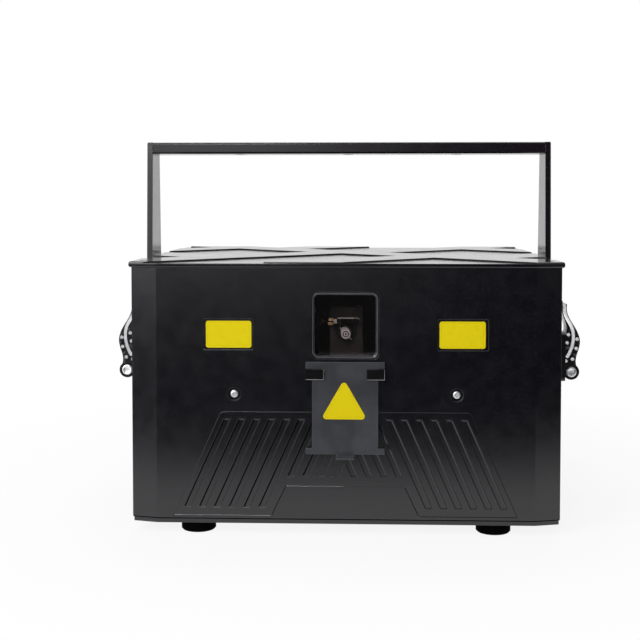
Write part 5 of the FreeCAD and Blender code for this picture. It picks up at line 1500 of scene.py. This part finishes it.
@dataclass
class Studio:
    """Pale floor, soft lamps, white surroundings and the camera.

    Pairs of numbers are the ends of a ramp: parts of a direction for the surroundings, metres for the floor.
    """

    ambient: float = 0.3
    room: float = 0.02
    window: float = 1.3
    window_lean: float = 0.65
    window_edge: Pair = (0.075, -0.085)
    window_sill: Pair = (-0.12, 0.02)
    flank: Pair = (-0.3, -0.55)
    flank_gain: float = 2.4
    ahead: Pair = (-0.3, -0.65)
    astern: float = 0.2
    right: Pair = (0.25, 0.45)
    right_level: float = 0.35
    ceiling: Pair = (0.6, 0.92)
    backdrop: Pair = (-0.1, 0.35)
    sweep: float = 1.25
    sweep_end: Pair = (-0.62, -0.31)
    sweep_right: Pair = (0.75, 0.45)
    sweep_dim: float = 0.05
    sweep_side: Pair = (-0.3, -0.1)
    shadow: Pair = (0.3, 0.7)
    shadow_white: float = 0.88
    floor_half: float = 6.0
    aim: Point = (0.0, 0.0, 0.15)
    place: Point = (17.48, -1274.53, 311.4)
    yaw: float = -2.145
    pitch: float = 2.676
    lens: float = 66.5
    sensor: float = 36.0
    shift: float = -0.1
    far: float = 50.0

    def build(self) -> None:
        """Adds everything round the object."""
        self.surroundings()
        self.floor()
        self.lamp("key_softbox", (-1.5, -1.7, 1.8), 1.4, 38)
        self.lamp("front_softbox", (-0.35, -2.1, 1.0), 0.3, 8)
        self.lamp("top_softbox", (0.0, 0.9, 2.2), 1.4, 22)
        self.camera()
        bpy.context.scene.view_settings.view_transform = "Standard"

    def surroundings(self) -> None:
        """Makes the world white to the camera, and for reflections a dim room with a window at the left."""
        world = bpy.data.worlds.new("studio")
        bpy.context.scene.world = world
        world.use_nodes = True
        tree = world.node_tree
        ray = add(tree, "ShaderNodeLightPath").node.outputs
        way = add(tree, "ShaderNodeTexCoord", take="Generated")
        x, y, z = add(tree, "ShaderNodeSeparateXYZ", (way,)).node.outputs
        slant = add(tree, "ShaderNodeMath", (z, self.window_lean, x), operation="MULTIPLY_ADD")
        left = add(tree, "ShaderNodeMapRange", (slant, *self.window_edge, 0.0, self.window), **SOFT)
        for ramp in ((z, *self.window_sill), (x, *self.flank, 1.0, self.flank_gain),
                     (y, *self.ahead, self.astern, 1.0)):
            share = add(tree, "ShaderNodeMapRange", ramp, **SOFT)
            left = add(tree, "ShaderNodeMath", (left, share), operation="MULTIPLY")
        right = add(tree, "ShaderNodeMapRange", (x, *self.right, 0.0, self.right_level), **SOFT)
        sides = add(tree, "ShaderNodeMath", (left, self.room))
        sides = add(tree, "ShaderNodeMath", (sides, right))
        above = add(tree, "ShaderNodeMapRange", (z, *self.ceiling), **SOFT)
        back = add(tree, "ShaderNodeMapRange", (y, *self.backdrop), **SOFT)
        white = add(tree, "ShaderNodeMath", (back, above), operation="MAXIMUM")
        shine = add(tree, "ShaderNodeMix", {0: white, 2: sides, 3: 1.0})
        rays = (ray["Is Glossy Ray"], ray["Is Transmission Ray"])
        mirrored = add(tree, "ShaderNodeMath", rays, operation="MAXIMUM")
        level = add(tree, "ShaderNodeMix", {0: mirrored, 2: self.ambient, 3: shine})
        sky = tree.nodes["Background"].inputs
        sky["Color"].default_value = (1, 1, 1, 1)
        add(tree, "ShaderNodeMix", {0: ray["Is Camera Ray"], 2: level, 3: 1.0}, to=sky["Strength"])

    def floor(self) -> None:
        """Adds a pale floor that keeps a light shadow."""
        mesh = bpy.data.meshes.new("floor")
        corners = [(x, y, 0) for x, y in rectangle(2 * self.floor_half, 2 * self.floor_half)]
        mesh.from_pydata(corners, [], [(0, 1, 2, 3)])
        floor = linked("floor", mesh)
        paper = bpy.data.materials.new("matt_white_paper")
        paper.use_nodes = True
        mesh.materials.append(paper)
        tree = paper.node_tree
        ray = add(tree, "ShaderNodeLightPath").node.outputs
        place = add(tree, "ShaderNodeTexCoord", take="Object")
        across, depth, _ = add(tree, "ShaderNodeSeparateXYZ", (place,)).node.outputs
        near = add(tree, "ShaderNodeMapRange", (depth, *self.sweep_end, self.room, self.sweep), **SOFT)
        side = add(tree, "ShaderNodeMapRange", (across, *self.sweep_right, self.sweep_dim), **SOFT)
        beside = add(tree, "ShaderNodeMapRange", (depth, *self.sweep_side), **SOFT)
        side = add(tree, "ShaderNodeMath", (side, beside), operation="MAXIMUM")
        near = add(tree, "ShaderNodeMath", (near, side), operation="MULTIPLY")
        glow = add(tree, "ShaderNodeMix", {0: ray["Is Camera Ray"], 2: near, 3: 1.0})
        glow = add(tree, "ShaderNodeEmission", {"Strength": glow})
        sheet = add(tree, "ShaderNodeBsdfDiffuse", {"Color": (0.9, 0.9, 0.9, 1)})
        seen = ray["Is Camera Ray"]
        for kind in ("Is Glossy Ray", "Is Transmission Ray"):
            seen = add(tree, "ShaderNodeMath", (seen, ray[kind]), operation="MAXIMUM")
        away = add(tree, "ShaderNodeVectorMath", (place,), "Value", operation="LENGTH")
        white = add(tree, "ShaderNodeMapRange", (away, *self.shadow, self.shadow_white, 1.0))
        share = add(tree, "ShaderNodeMath", (seen, white), operation="MULTIPLY")
        out = tree.nodes["Material Output"].inputs["Surface"]
        add(tree, "ShaderNodeMixShader", (share, sheet, glow), to=out)

    def lamp(self, name: str, place: Point, side: float, power: float) -> None:
        """Adds a square soft lamp aimed at the object.

        Args:
            name: Lamp name.
            place: Position in metres.
            side: Side length in metres.
            power: Power in watts.
        """
        light = bpy.data.lights.new(name, "AREA")
        light.size = side
        light.energy = power
        lamp = linked(name, light)
        lamp.location = place
        lamp.rotation_euler = (Vector(self.aim) - Vector(place)).to_track_quat("-Z", "Y").to_euler()
        lamp.visible_camera = False

    def camera(self) -> None:
        """Sets the camera where the photograph was taken from."""
        view = bpy.data.cameras.new("camera")
        view.lens = self.lens
        view.sensor_width = self.sensor
        view.shift_y = self.shift
        view.clip_end = self.far
        camera = linked("camera", view)
        camera.location = mm(*self.place)
        camera.rotation_euler = (math.pi / 2 - math.radians(self.pitch), 0, -math.radians(self.yaw))
        bpy.context.scene.camera = camera


PARTS: tuple[SubAssembly, ...] = (Case(), FrontFace(), Shutter(), Yoke(), ClampLevers(), Scanner(),
                                  OpticalBench(), Electronics(), Fans(), RearFittings())


def main() -> None:
    """Builds and dresses each sub-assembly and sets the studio."""
    logging.basicConfig(level=logging.INFO, format="%(name)s: %(message)s")
    for part in PARTS:
        part.dress()
        part.build()
        LOG.info("%s done", type(part).__name__)
    Studio().build()


if __name__ == "__main__":
    main()
